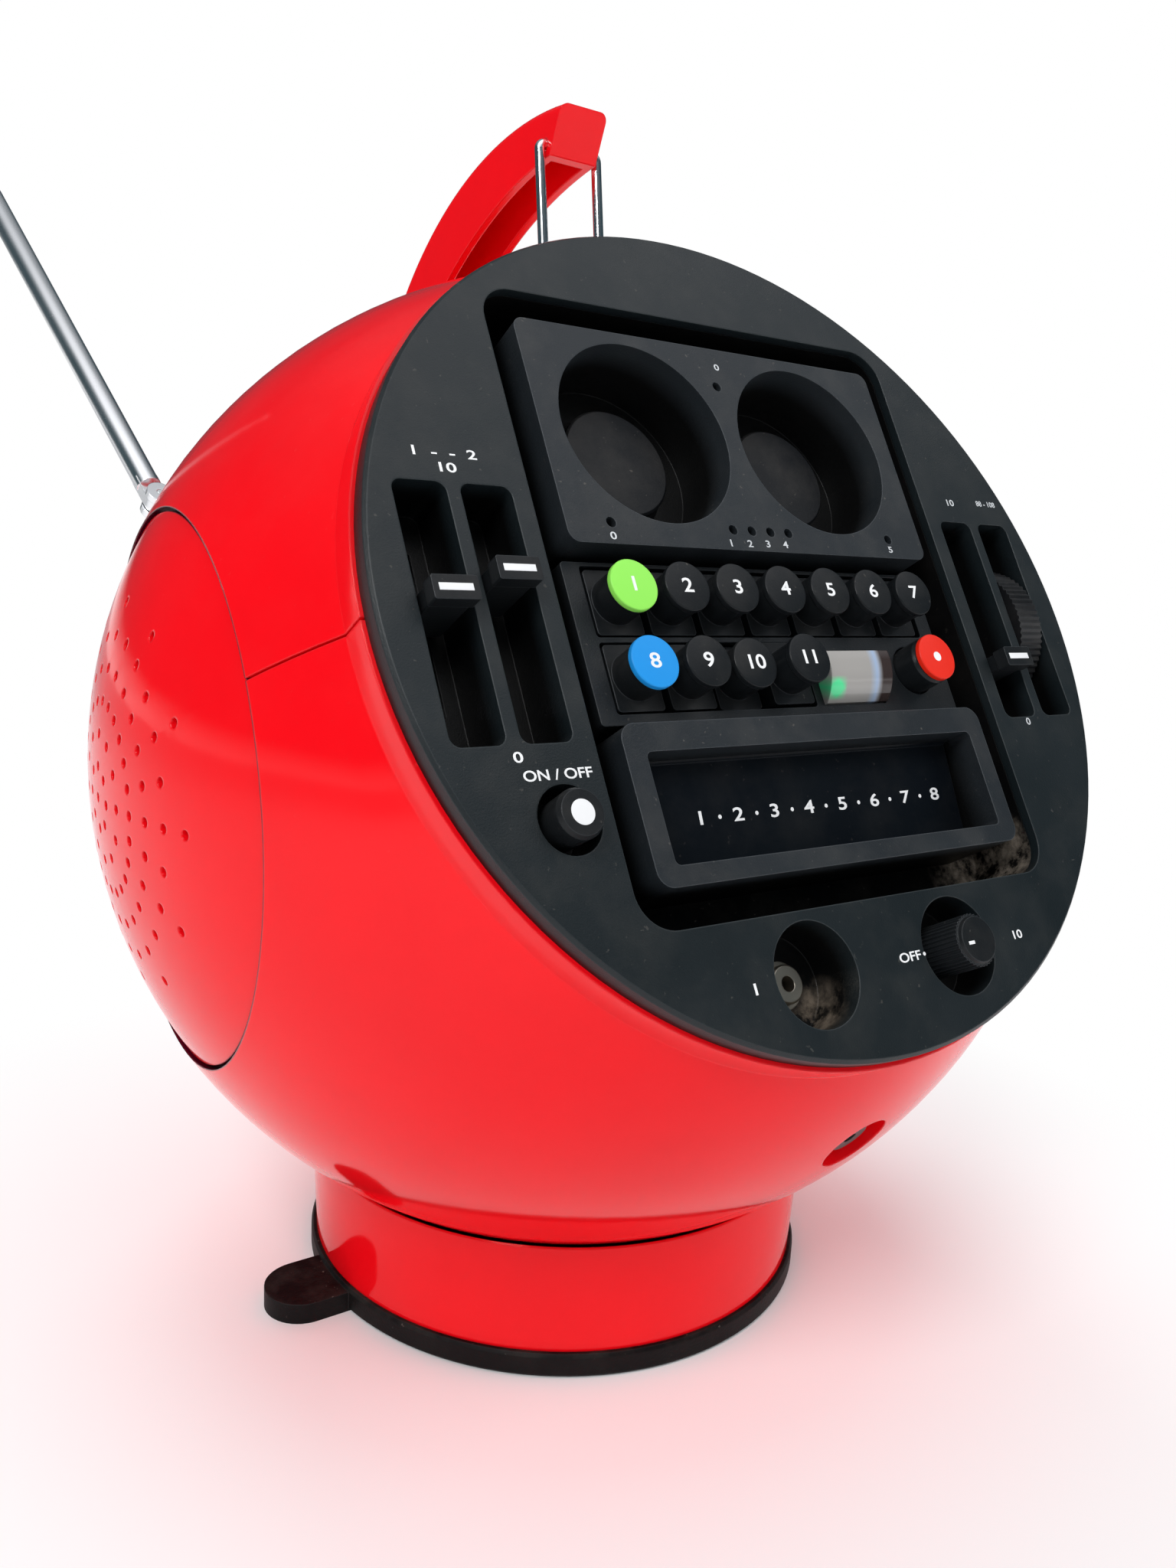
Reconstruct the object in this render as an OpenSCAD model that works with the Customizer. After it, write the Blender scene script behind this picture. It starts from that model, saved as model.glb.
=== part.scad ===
// Ball-shaped portable radio and eight-track tape player.
// Millimetres, +Z up, the control face looks towards -Y, origin under the middle of the foot.
// Three frames are used: the part's own, the ball's (z out of the control face, y up the face)
// and the face's (the ball's, moved to the front of the fascia).

/* [Ball] */
// Outer radius of the ball
ball_r = 140; // [138:1:168]
// Wall of the two half shells
shell_wall = 3; // [2.4:0.2:4]
// Tilt of the control face back from upright
face_tilt = 30.5; // [25:0.5:35]
// Gap along the seam between the half shells
seam_gap = 0.6; // [0.2:0.1:0.8]
// Outer radius of the collar that carries the fascia
collar_r = 109.3; // [108:0.1:118]
// Length of the collar beyond the ball
collar_h = 7.6; // [5:0.2:10]
// Distance of the screw posts from the wall of the ball
post_inset = 7; // [6:0.5:9]

/* [Base] */
// Height of the black foot ring
foot_h = 7; // [6:0.5:10]
// Outer radius of the foot ring
foot_r = 78; // [74:0.5:90]
// Height of the red drum above the foot ring
drum_h = 31.8; // [26:0.2:36]
// Radius of the drum at its lower edge
drum_r = 76.4; // [73:0.2:88]
// How much wider the drum is at its upper edge
drum_flare = 1.4; // [0:0.2:3]
// Gap between the drum and the ball
drum_gap = 0.8; // [0.5:0.1:2]
// Height of the lowest point of the ball
ball_floor = 16.3; // [14:0.1:20]
// Width of the tabs on the foot ring
tab_w = 22; // [16:1:30]
// Reach of the tabs beyond the foot ring
tab_reach = 19.7; // [12:0.1:26]
// Radius of the swivel bolt
bolt_r = 4; // [3:0.5:6]

/* [Fascia] */
// Radius of the fascia
face_r = 108.2; // [107:0.1:116]
// Height of the fascia's edge above the collar
edge_h = 5.2; // [4:0.2:7]
// Thickness of the moulded plates
plate_t = 2.6; // [2:0.2:3]
// Width of the well in the fascia
well_w = 130; // [126:1:134]
// Depth of the well
well_d = 21.5; // [21:0.5:26]
// Width of the panels in the well
panel_w = 116; // [114:1:120]

/* [Meters] */
// Radius of a meter cup
cup_r = 24.6; // [20:0.2:26]
// Depth of a meter cup
cup_d = 20; // [14:0.5:20]
// Distance between the two meter cups
cup_pitch = 54.4; // [53:0.2:56]
// Radius of a meter dial
dial_r = 15; // [10:0.5:18]

/* [Keys] */
// Radius of a key cap
cap_r = 6.15; // [5:0.05:6.4]
// Distance from key to key
key_pitch = 15.2; // [14.4:0.1:15.2]
// Height of a key cap over the fascia's front
key_proud = 2.7; // [1:0.1:6]
// Travel of a key
key_travel = 4; // [2:0.5:4]

/* [Sliders] */
// Width of a slider's slot
slot_w = 12.75; // [11:0.25:13]
// Length of a slider's slot
slot_l = 59.5; // [50:0.5:62]
// Depth of a slider's channel
slot_d = 15; // [12:0.5:17]
// Length of the slit that a slider's stem runs in
slit_l = 38; // [30:1:44]
// Radius of the tuning wheel
wheel_r = 20.5; // [18:0.5:22]

/* [Tape slot] */
// Width of the opening that takes a cartridge
bay_w = 105; // [103:1:106]
// Height of the opening that takes a cartridge
bay_h = 25.4; // [24:0.2:26]

/* [Speakers] */
// Radius of a speaker cover
cover_r = 70.1; // [60:0.5:72]
// Radius of the dome of a speaker cover
cover_dome_r = 136; // [126:1:140]
// Radius of a hole in a speaker cover
hole_r = 1.25; // [0.8:0.05:1.6]
// Distance from one ring of holes to the next
ring_step = 8; // [7:0.5:9]

/* [Handle] */
// Width of the handle
handle_w = 16; // [14:0.5:20]
// Thickness of the handle's walls
handle_wall = 2.5; // [2:0.25:3]
// Angle that the handle is lifted
handle_lift = 14; // [10:0.5:16]
// Radius of the wire of the bail
wire_r = 1.5; // [1.2:0.1:1.8]
// Length of the bail's legs
bail_leg = 52; // [46:1:56]

/* [Antenna] */
// Outer radius of the antenna's first tube
tube_r = 3.5; // [3:0.1:4.2]
// Length of the first tube from its pivot
tube_l = 137; // [110:1:160]
// Length of the second tube that shows
second_out = 21; // [5:1:60]
// Length of the third tube that shows
third_out = 92; // [20:1:100]
// Lean of the antenna from the ball's surface normal
antenna_lean = 39.2; // [0:0.1:70]

/* [Hidden] */
$fn = 72;

// Colours
red = "#c8141a";
black = "#17181a";
steel = "#b9bcc0";

// Clearances
fit = 0.05;       // a shaft in its bearing, a tube in a tube
loose = 0.4;      // between pieces that only pass each other
seat = 0.3;       // between a piece and what carries it

// Swivel stud: its lower end in the foot, and the boss it comes out of in the ball
bolt_foot = 2;
bolt_top = ball_floor + 14;

// Where the ball and its face are
ball_z = ball_floor + ball_r;
inner_r = ball_r - shell_wall;
collar_end = sqrt(ball_r * ball_r - collar_r * collar_r) + collar_h;
face_n = collar_end + edge_h;

// Rows and columns on the face, measured from the ball's axis
well_v = [-72, 83];
well_corner = 9;
meter_v = [16.5, 75];
meter_proud = 0.6;
cup_v = 47.3;
lamp_r = 1.35;
lamps = [[0, 63.5], [-45.5, 22], [-9.1, 22], [-3.05, 22], [3.05, 22], [9.1, 22], [45.3, 22]];
lamp_hole_d = 6;
dial_front = -13;

bezel_v = [-25, 14.8];
bezel_h = -5.5;
plinth = [13, 16.2];
plinth_h = -6;
row_v = [5, -13.6];
cap_v = [5.2, -13.4];
cap_t = 1.2;
window_v = [[-3.9, 13.9], [-22.5, -5.1]];
window_right = [3.5 * key_pitch, 7.6];
window_left = -3.5 * key_pitch;
record_u = 3 * key_pitch;
record_r = 6.4;
record_proud = 3.4;
lens_u = [10.2, 31.8];
lens_v = [-22, -10];
lens_r = 12.6;
lens_back = -9;

panel_v = [-63.2, -26.5];
bay_v = -45.9;
bay_floor = bay_v - bay_h / 2;
bay_roof = bay_v + bay_h / 2;
tunnel_wall = 1.5;
tunnel_d = 46;
lip_d = 7;
door_v = bay_roof + 1.2;
door_h = -9.5;
door_t = 2;
door_slant = 6;
door_pin_r = 1.2;
knuckle_r = 1.9;

slot_u = [-92.2, -76.2, 76.2, 92.2];
slot_v = -0.25;
slot_corner = 2.5;
slit_w = 5;
slit_v = 1.1;
channel_wall = 1.2;
channel_floor = 1.5;
slider_v = [2.1, 6.9, -14.3];
slider_proud = 5.4;
pot_d = 9;
wheel_v = 1;
wheel_h = 2 - wheel_r;
wheel_w = 9;
wheel_axle_r = 2;

power_at = [-75.6, -46.5];
power_recess_r = 7.6;
mic_at = [-22.8, -86.3];
level_at = [23.3, -86.4];
round_recess_r = 12;
recess_d = 12;
mic_recess_d = 14;
stem_r = 3;

// Speakers, on an axis that leans a little to the rear
speaker_lean = 2.5;
cover_gap = 1;
cover_wall = 2.5;
cover_top = ball_r - 0.6;
cover_edge = cover_top - cover_dome_r + sqrt(cover_dome_r * cover_dome_r - cover_r * cover_r);
skirt_h = 5.2;
seat_z = cover_edge - skirt_h;
ledge_t = 3;
ledge_r = 58;

// Handle, in the upright plane through the ball's centre (y, z from that centre), lifted
hinge = [126, 44];
back_arc = [21.7, 64.8];
back_r = 122.7;
grip_arc = [-6.9, 31.8];
grip_r = 144.5;
lug_w = 10;
hub_r = 6.5;
hinge_pin_r = 2;
bail_pivot = [21, 177.5];
bail_lean = 9;
bail_x = handle_w / 2 + wire_r + loose;
bail_slot = [4.5, 33];
bail_slot_y = 2.5;

// Antenna, on a swivel that is let into the upper shell
antenna_polar = 60.65;
antenna_azimuth = 150.65;
antenna_roll = -124.3;
pivot_h = 2.8;
dish_r = 12;
dish_d = 5.5;
tube_wall = 0.45;
second_r = tube_r - tube_wall - fit;
third_r = second_r - tube_wall - fit;
second_l = 124;
third_l = 124;

// Deck inside, in the ball's frame
deck_v = bay_floor - tunnel_wall;
deck_t = 2;
deck_u = 60;
deck_n = [face_n - 190, face_n - 26];
upright_v = 24;
upright_n = [face_n - 160, face_n - 62];
flywheel_at = [38, face_n - 109];
flywheel_r = 30;
step_r = 24;
motor_at = [-34, face_n - 132];
motor_r = 17;
pulley_r = 6;
shaft_r = 1.5;
capstan_r = 2;
belt_t = 0.8;

battery_w = 62;
battery_v = [-35.2, -5.6];

module ball() { translate([0, 0, ball_z]) rotate([90 - face_tilt, 0, 0]) children(); }
module face() { ball() translate([0, 0, face_n]) children(); }

// Speaker axis: z runs outwards from the ball's centre; side is 1 at +X and -1 at -X
module speaker_axis(side) { ball() rotate([0, side * (90 + speaker_lean), 0]) children(); }

// Antenna frame: z along the ball's normal, y along the tilt pin, origin on the tilt pin
module antenna_frame() {
    translate([0, 0, ball_z]) rotate([0, antenna_polar, antenna_azimuth])
        rotate([0, 0, antenna_roll]) translate([0, 0, ball_r + pivot_h]) children();
}

// Turns a solid that is drawn along z so that it lies across the part, along x
module across(w) { rotate([90, 0, 90]) translate([0, 0, -w / 2]) children(); }

module ring(outer, inner, h) {
    difference() {
        cylinder(r = outer, h = h);
        translate([0, 0, -1]) cylinder(r = inner, h = h + 2);
    }
}

// The two ends of a stretch, from its middle and half its length
function about(middle, half) = [middle - half, middle + half];

// Rounded rectangle between two corners
module plate_outline(u, v, r) {
    translate([u[0] + r, v[0]]) square([u[1] - u[0] - 2 * r, v[1] - v[0]]);
    translate([u[0], v[0] + r]) square([u[1] - u[0], v[1] - v[0] - 2 * r]);
    for (x = [u[0] + r, u[1] - r], y = [v[0] + r, v[1] - r]) translate([x, y]) circle(r);
}

// Block between two corners of a rectangle and two heights
module slab(u, v, h, r = 0) {
    translate([0, 0, h[0]]) linear_extrude(h[1] - h[0])
        if (r > 0) plate_outline(u, v, r);
        else translate([u[0], v[0]]) square([u[1] - u[0], v[1] - v[0]]);
}

// Knurled disc: a row of small teeth round a circle
module knurled(r, depth, teeth, w) {
    linear_extrude(w) polygon([for (i = [0 : 2 * teeth - 1])
        (r - (i % 2) * depth) * [cos(i * 180 / teeth), sin(i * 180 / teeth)]]);
}

// ---- Base ----

module foot_tab(side) {
    mirror([side < 0 ? 1 : 0, 0, 0]) linear_extrude(foot_h - 1) {
        translate([foot_r - 6, -tab_w / 2]) square([tab_reach + 6 - tab_w / 2, tab_w]);
        translate([foot_r + tab_reach - tab_w / 2, 0]) circle(d = tab_w);
    }
}

module foot_ring() {
    color(black) difference() {
        union() {
            rotate_extrude() polygon([
                [0, 0], [16, 0], [16, 2.5], [foot_r - 8, 2.5], [foot_r - 8, 0],
                [foot_r - 1, 0], [foot_r, 1],
                [foot_r, foot_h - 1], [foot_r - 0.6, foot_h], [foot_r - 10, foot_h],
                [foot_r - 10, 5.5], [16, 5.5], [16, ball_floor - 3.3], [0, ball_floor - 3.3]]);
            for (side = [-1, 1]) foot_tab(side);
            for (a = [30 : 60 : 330]) rotate(a)
                translate([14, -1.5, 5]) cube([foot_r - 23, 3, foot_h - 5.5]);
        }
        translate([0, 0, bolt_foot]) cylinder(r = bolt_r + fit, h = ball_floor);
    }
}

module base_drum() {
    top_r = drum_r + drum_flare;
    color(red) difference() {
        translate([0, 0, foot_h]) rotate_extrude() polygon([
            [drum_r - 9, 0], [drum_r, 0], [top_r, drum_h - 0.6], [top_r - 0.4, drum_h],
            [top_r - 4, drum_h], [drum_r - 3, 2.5], [drum_r - 9, 2.5]]);
        translate([0, 0, ball_z]) sphere(ball_r + drum_gap, $fn = 144);
    }
}

// Stud that is set into the foot, and the nut on it inside the ball
module swivel_bolt() {
    color(steel) {
        translate([0, 0, bolt_foot]) cylinder(r = bolt_r, h = bolt_top + 6 + 4 - bolt_foot);
        translate([0, 0, bolt_top + seat]) cylinder(r = 1.9 * bolt_r, h = 5, $fn = 6);
    }
}

// ---- Shells ----

// Ball with its collar, solid, in the ball's frame
module solid_ball() {
    sphere(ball_r, $fn = 96);
    cylinder(r = collar_r, h = collar_end, $fn = 96);
}

// The room inside the ball, open at the collar
module ball_room() {
    sphere(inner_r, $fn = 96);
    cylinder(r = collar_r - shell_wall, h = ball_r, $fn = 96);
}

// One half of the ball's space: up is 1 above the seam and -1 below it
module half_space(up) {
    translate([0, up * (ball_r + seam_gap / 2 + 10), 0])
        cube(2 * [ball_r + 10, ball_r + 10, ball_r + 10], center = true);
}

// What a speaker cover and its speaker are seated on, before it is bored
module speaker_seat(side) {
    rotate([0, side * (90 + speaker_lean), 0]) translate([0, 0, seat_z - ledge_t])
        cylinder(r = cover_r + cover_gap + 3.5, h = ball_r);
}

module speaker_bore(side) {
    rotate([0, side * (90 + speaker_lean), 0]) {
        translate([0, 0, seat_z]) cylinder(r = cover_r + cover_gap, h = ball_r);
        translate([0, 0, seat_z - ledge_t - 1]) cylinder(r = ledge_r, h = ball_r);
    }
}

// Screw posts stand at the rear of the seam, at angles round its plane; at the front the
// fascia's rim holds both halves of the collar together
post_angles = [-53, -127];
post_r = 4.6;
screw_r = 1.6;
head_r = 3.2;
post_l = 22;
head_v = -10;

module at_posts() {
    for (a = post_angles)
        translate([(ball_r - post_inset) * cos(a), 0, (ball_r - post_inset) * sin(a)])
            rotate([-90, 0, 0]) children();
}

// Room in one half of the ball, less what both halves carry; children are left standing too
module shell_room(up) {
    difference() {
        ball() ball_room();
        ball() for (side = [-1, 1]) speaker_seat(side);
        ball() at_posts() translate([0, 0, up > 0 ? 0 : -ball_r])
            cylinder(r = post_r, h = up > 0 ? post_l : ball_r);
        children();
    }
}

module bail_slots(grow, h) {
    for (side = [-1, 1]) translate([side * bail_x, bail_slot_y, ball_z + ball_r - 20])
        linear_extrude(h) {
            square([bail_slot[0] + 2 * grow, bail_slot[1] - bail_slot[0]], center = true);
            for (end = [-1, 1]) translate([0, end * (bail_slot[1] - bail_slot[0]) / 2])
                circle(bail_slot[0] / 2 + grow);
        }
}

hinge_angle = atan2(hinge[1], hinge[0]);

// Handle hinge, seen along x: z runs along the pin, x away from the ball's centre
module hinge_frame(w) {
    translate([0, 0, ball_z]) across(w) translate(hinge) rotate(hinge_angle) children();
}

module hinge_ears() {
    ear_w = lug_w + 2 * loose + 6;
    difference() {
        hinge_frame(ear_w) linear_extrude(ear_w) {
            circle(hub_r);
            translate([0, -hub_r]) square([20, 2 * hub_r]);
        }
        hinge_frame(lug_w + 2 * loose) translate([-30, -30, 0])
            cube([60, 60, lug_w + 2 * loose]);
    }
}

module upper_shell() {
    color(red) difference() {
        ball() intersection() {
            solid_ball();
            half_space(1);
        }
        shell_room(1) {
            hinge_ears();
            antenna_frame() translate([0, 0, -pivot_h - dish_d - 2])
                cylinder(r = dish_r + 2, h = dish_d + 12);
        }
        ball() for (side = [-1, 1]) speaker_bore(side);
        bail_slots(0, 40);
        hinge_frame(lug_w + 2 * loose) translate([-hub_r - 1, -hub_r - 1, 0])
            cube([30, 2 * hub_r + 4, lug_w + 2 * loose]);
        hinge_frame(40) cylinder(r = hinge_pin_r + 0.02, h = 40);
        antenna_frame() translate([0, 0, -pivot_h - dish_d]) cylinder(r = dish_r, h = 20);
        antenna_frame() translate([0, 0, -30]) cylinder(r = 4.5, h = 30);
        ball() at_posts() translate([0, 0, -1]) cylinder(r = screw_r + fit, h = 16);
    }
}

jack_dir = [11.3, -126.2, 59.6];
jack_dish_r = 9.6;
jack_dish_d = 5;
inlet_dir = [62, -50, -115.2];
inlet_r = 10;
inlet_d = 8;

// Frame on the ball's surface where a line from its centre comes out, z outwards
module on_ball(dir) {
    ball() rotate([0, acos(dir[2] / norm(dir)), atan2(dir[1], dir[0])])
        translate([0, 0, ball_r]) children();
}

// Dish that is let into the ball, with its own floor
module dish_wall(dir, r, d) { on_ball(dir) translate([0, 0, -d - 2]) cylinder(r = r + 2, h = 3 * d); }

battery_u = [-battery_w / 2, battery_w / 2];

deck_posts = [for (u = [-1, 1], n = [deck_n[0] + 30, deck_n[1] - 34]) [u * 46, n]];

module at_deck_posts() {
    for (p = deck_posts) translate([p[0], deck_v - deck_t, p[1]]) rotate([90, 0, 0]) children();
}

module lower_shell() {
    color(red) difference() {
        union() {
            ball() intersection() {
                solid_ball();
                half_space(-1);
            }
            translate([0, 0, ball_floor - 3]) cylinder(r = 20, h = 12);
        }
        shell_room(-1) {
            ball() at_deck_posts() cylinder(r = post_r, h = ball_r);
            cylinder(r = 20, h = bolt_top);
            dish_wall(jack_dir, jack_dish_r, jack_dish_d);
            dish_wall(inlet_dir, inlet_r, inlet_d);
        }
        ball() for (side = [-1, 1]) speaker_bore(side);
        cylinder(r = bolt_r + fit, h = bolt_top + 1);
        on_ball(jack_dir) translate([0, 0, -jack_dish_d]) cylinder(r = jack_dish_r, h = 20);
        on_ball(jack_dir) translate([0, 0, -20]) cylinder(r = 4.1, h = 20);
        on_ball(inlet_dir) translate([0, 0, -inlet_d]) cylinder(r = inlet_r, h = 20);
        on_ball(inlet_dir) translate([0, 0, -20]) cylinder(r = 6.1, h = 20);
        ball() at_posts() {
            translate([0, 0, -ball_r]) cylinder(r = screw_r + 0.2, h = ball_r + 1);
            translate([0, 0, -ball_r]) cylinder(r = head_r + 0.4, h = ball_r + head_v);
        }
        ball() at_deck_posts() cylinder(r = screw_r + fit, h = 12);
        // opening for the batteries
        ball() slab(battery_u, battery_v, [-2 * ball_r, -ball_r / 2], 4);
    }
}

module screw(length) {
    cylinder(r = screw_r, h = length);
    translate([0, 0, -2]) cylinder(r = head_r, h = 2);
}

module case_screws() {
    color(steel) ball() {
        at_posts() translate([0, 0, head_v]) screw(-head_v + 14);
        at_deck_posts() translate([0, 0, -deck_t]) screw(10);
    }
}

// ---- Fascia ----

// A slot of the fascia, grown by a wall, between two heights
module slot_block(u, grow, h) {
    slab(about(u, slot_w / 2 + grow), about(slot_v, slot_l / 2 + grow), h, slot_corner + grow);
}

module recess(at, r, h) { translate([at[0], at[1], h[0]]) cylinder(r = r, h = h[1] - h[0]); }

module fascia_recesses(grow, below) {
    recess(power_at, power_recess_r + grow, [-recess_d - below, below > 0 ? -1 : 1]);
    recess(mic_at, round_recess_r + grow, [-mic_recess_d - below, below > 0 ? -1 : 1]);
    recess(level_at, round_recess_r + grow, [-recess_d - below, below > 0 ? -1 : 1]);
}

cheek_t = 1.4;

module wheel_cheeks() {
    for (side = [-1, 1]) translate([slot_u[3] + side * (slot_w / 2 + cheek_t / 2), wheel_v, 0])
        translate([-cheek_t / 2, -8, wheel_h - 5]) cube([cheek_t, 16, -wheel_h + 4]);
}

// Axis of the tuning wheel, drawn along z
module wheel_axis(u) { translate([u, wheel_v, wheel_h]) rotate([0, 90, 0]) children(); }

module fascia() {
    spigot = [collar_r - shell_wall - 2.5, collar_r - shell_wall - 0.7];
    color(black) face() difference() {
        union() {
            rotate_extrude($fn = 144) polygon([
                [0, 0], [face_r - 0.8, 0], [face_r, -0.8], [face_r, -edge_h],
                [spigot[1], -edge_h], [spigot[1], -edge_h - 5], [spigot[0], -edge_h - 5],
                [spigot[0], -plate_t], [0, -plate_t]]);
            for (u = slot_u) slot_block(u, channel_wall, [-slot_d - channel_floor, -1]);
            fascia_recesses(channel_wall, channel_floor);
            wheel_cheeks();
        }
        slab([-well_w / 2, well_w / 2], well_v, [-ball_r, 1], well_corner);
        for (u = slot_u) slot_block(u, 0, [-slot_d, 1]);
        for (i = [0 : 2])
            slab(about(slot_u[i], slit_w / 2), about(slit_v, slit_l / 2), [-slot_d - 3, 0]);
        slot_block(slot_u[3], 0, [-slot_d - 3, 0]);
        fascia_recesses(0, 0);
        recess(power_at, stem_r + 0.3, [-recess_d - 4, 0]);
        recess(mic_at, 4, [-mic_recess_d - 4, 0]);
        recess(level_at, stem_r + fit, [-recess_d - 4, 0]);
        wheel_axis(slot_u[3] - 12) cylinder(r = wheel_axle_r + fit, h = 24);
    }
}

module well_tray() {
    u = [-well_w / 2, well_w / 2];
    tray_wall = 1;
    floor_t = 1.5;
    color("#0c0d0e") face() difference() {
        slab(u + tray_wall * [-1, 1], well_v + tray_wall * [-1, 1],
             [-well_d - floor_t, -plate_t], well_corner + tray_wall);
        slab(u, well_v, [-well_d, 1], well_corner);
        slab([-bay_w / 2 - tunnel_wall - seat, bay_w / 2 + tunnel_wall + seat],
             [deck_v - seat, bay_roof + 5.1], [-ball_r, 0]);
    }
}

module meter_panel() {
    u = [-panel_w / 2, panel_w / 2];
    top = meter_proud;
    color(black) face() difference() {
        union() {
            difference() {
                slab(u, meter_v, [-well_d, top], 3);
                slab(u + [2, -2], meter_v + [2, -2], [-ball_r, top - 2.5], 1);
            }
            for (side = [-1, 1]) translate([side * cup_pitch / 2, cup_v, -cup_d - 1])
                cylinder(r = cup_r + 1.3, h = cup_d + 1);
            for (p = lamps) translate([p[0], p[1], -lamp_hole_d - 1])
                cylinder(r = lamp_r + 1.2, h = lamp_hole_d + 1);
        }
        for (side = [-1, 1]) translate([side * cup_pitch / 2, cup_v, -cup_d])
            cylinder(r = cup_r, h = ball_r);
        for (p = lamps) translate([p[0], p[1], -ball_r]) cylinder(r = lamp_r, h = 2 * ball_r);
    }
}

// Dials: low drums with a bevelled edge on the floors of the cups
module meter_dials() {
    color("#2b2d31") face() for (side = [-1, 1])
        translate([side * cup_pitch / 2, cup_v, -cup_d]) rotate_extrude() polygon([
            [0, 0], [dial_r + 1.5, 0], [dial_r + 1.5, 1], [dial_r, 2],
            [dial_r, cup_d + dial_front - 0.6], [dial_r - 0.6, cup_d + dial_front],
            [0, cup_d + dial_front]]);
}

module indicator_lamps() {
    color("#401012") face() for (p = lamps) translate([p[0], p[1], -lamp_hole_d])
        cylinder(r = lamp_r - fit, h = 3.4);
}

// ---- Keys ----

module key_bezel() {
    u = [-panel_w / 2, panel_w / 2];
    color(black) face() difference() {
        slab(u, bezel_v, [-well_d, bezel_h], 1);
        slab(u + [1.5, -1.5], bezel_v + [1.2, -1.2], [-ball_r, bezel_h - 2]);
        for (row = [0, 1])
            slab([window_left, window_right[row]], window_v[row], [-ball_r, 1], 1);
        translate([record_u, cap_v[1], -ball_r]) cylinder(r = record_r + loose, h = 2 * ball_r);
        slab(lens_u + [-0.2, 0.2], lens_v + [-0.2, 0.2], [-ball_r, 1]);
    }
}

// One key: its round cap stands on a post, and the post on a square plinth
module key(u, row, proud) {
    down = proud - key_proud;
    foot = -well_d + key_travel + 0.4;
    color(black) face() {
        slab(about(u, plinth[0] / 2), about(row_v[row], plinth[1] / 2), [foot, plinth_h + down], 1);
        translate([u, cap_v[row], 0]) rotate_extrude() polygon([
            [0, foot], [cap_r - 0.3, foot], [cap_r - 0.3, proud - cap_t], [cap_r, proud - cap_t],
            [cap_r, proud - 0.3], [cap_r - 0.3, proud], [0, proud]]);
    }
}

top_row = [for (i = [0 : 6]) (i - 3) * key_pitch];
second_row = [for (i = [0 : 3]) (i - 3) * key_pitch];
second_proud = [0, 0, -1.5, 1];

module record_key() {
    foot = -well_d + key_travel + 0.4;
    color(black) face() translate([record_u, cap_v[1], 0]) rotate_extrude() polygon([
        [0, foot], [record_r, foot], [record_r, 0.8], [cap_r - 0.3, 1.6],
        [cap_r - 0.3, record_proud - cap_t], [cap_r, record_proud - cap_t],
        [cap_r, record_proud - 0.3], [cap_r - 0.3, record_proud], [0, record_proud]]);
}

// Magnifying window over the track counter: part of a barrel
module counter_window() {
    color("#d8dde0") face() intersection() {
        translate([lens_u[0], lens_v[1] - 2, -lens_r + 0.1]) rotate([0, 90, 0])
            cylinder(r = lens_r, h = lens_u[1] - lens_u[0]);
        slab(lens_u, lens_v, [lens_back, 5]);
    }
}

// ---- Tape slot ----

module slot_panel() {
    u = [-panel_w / 2, panel_w / 2];
    bay_u = [-bay_w / 2, bay_w / 2];
    tunnel_u = bay_u + tunnel_wall * [-1, 1];
    roof = bay_roof + 3.3;
    color(black) face() difference() {
        union() {
            difference() {
                slab(u, panel_v, [-well_d, 0], 4);
                slab(u + [2, -2], panel_v + [2, -2], [-ball_r, -plate_t], 2);
            }
            slab(tunnel_u, [deck_v, roof + tunnel_wall], [-tunnel_d, -1]);
        }
        slab(bay_u, [bay_floor, bay_roof], [-ball_r, 1], 1.5);
        slab(bay_u, [bay_floor, roof], [-ball_r, -lip_d]);
        door_axis(tunnel_u[0] - 1) cylinder(r = door_pin_r + fit, h = bay_w + 6);
    }
}

// Axis of the slot's door, drawn along z
module door_axis(u) { translate([u, door_v, door_h]) rotate([0, 90, 0]) children(); }

module slot_door() {
    w = bay_w - 1.2;
    reach = door_v - bay_floor - 0.5;
    root = -door_pin_r - 0.2;
    color("#1c1e22") face() door_axis(-w / 2) linear_extrude(w) difference() {
        union() {
            circle(knuckle_r);
            rotate(door_slant) translate([-1.1, -reach]) square([door_t, reach + root]);
        }
        circle(door_pin_r + fit);
    }
}

module door_pin() {
    color(steel) face() door_axis(-bay_w / 2 - tunnel_wall)
        cylinder(r = door_pin_r, h = bay_w + 2 * tunnel_wall);
}

// ---- Sliders, wheel and knobs ----

module slider(i) {
    color(black) face() translate([slot_u[i], slider_v[i], 0]) {
        slab([-5.3, 5.3], [-2.7, 2.7], [1.6, slider_proud], 0.5);
        slab([-4.8, 4.8], [-2.2, 2.2], [-slot_d + 1.5, 2], 0.4);
        slab([-slit_w / 2 + loose, slit_w / 2 - loose], [-1.5, 1.5], [-slot_d - 5, -slot_d + 2]);
    }
}

// Sliding controls under the three slots, and the turning one under the level knob
module control_pots() {
    top = -slot_d - channel_floor;
    back = -recess_d - channel_floor;
    color(steel) face() {
        for (i = [0 : 2]) difference() {
            slab(about(slot_u[i], 6), about(slot_v, 28), [top - pot_d, top]);
            slab(about(slot_u[i], slit_w / 2), about(slit_v, slit_l / 2), [top - 5, 1]);
        }
        difference() {
            recess(level_at, 8, [back - 9, back]);
            recess(level_at, stem_r + fit, [back - 7, 0]);
        }
    }
}

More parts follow.
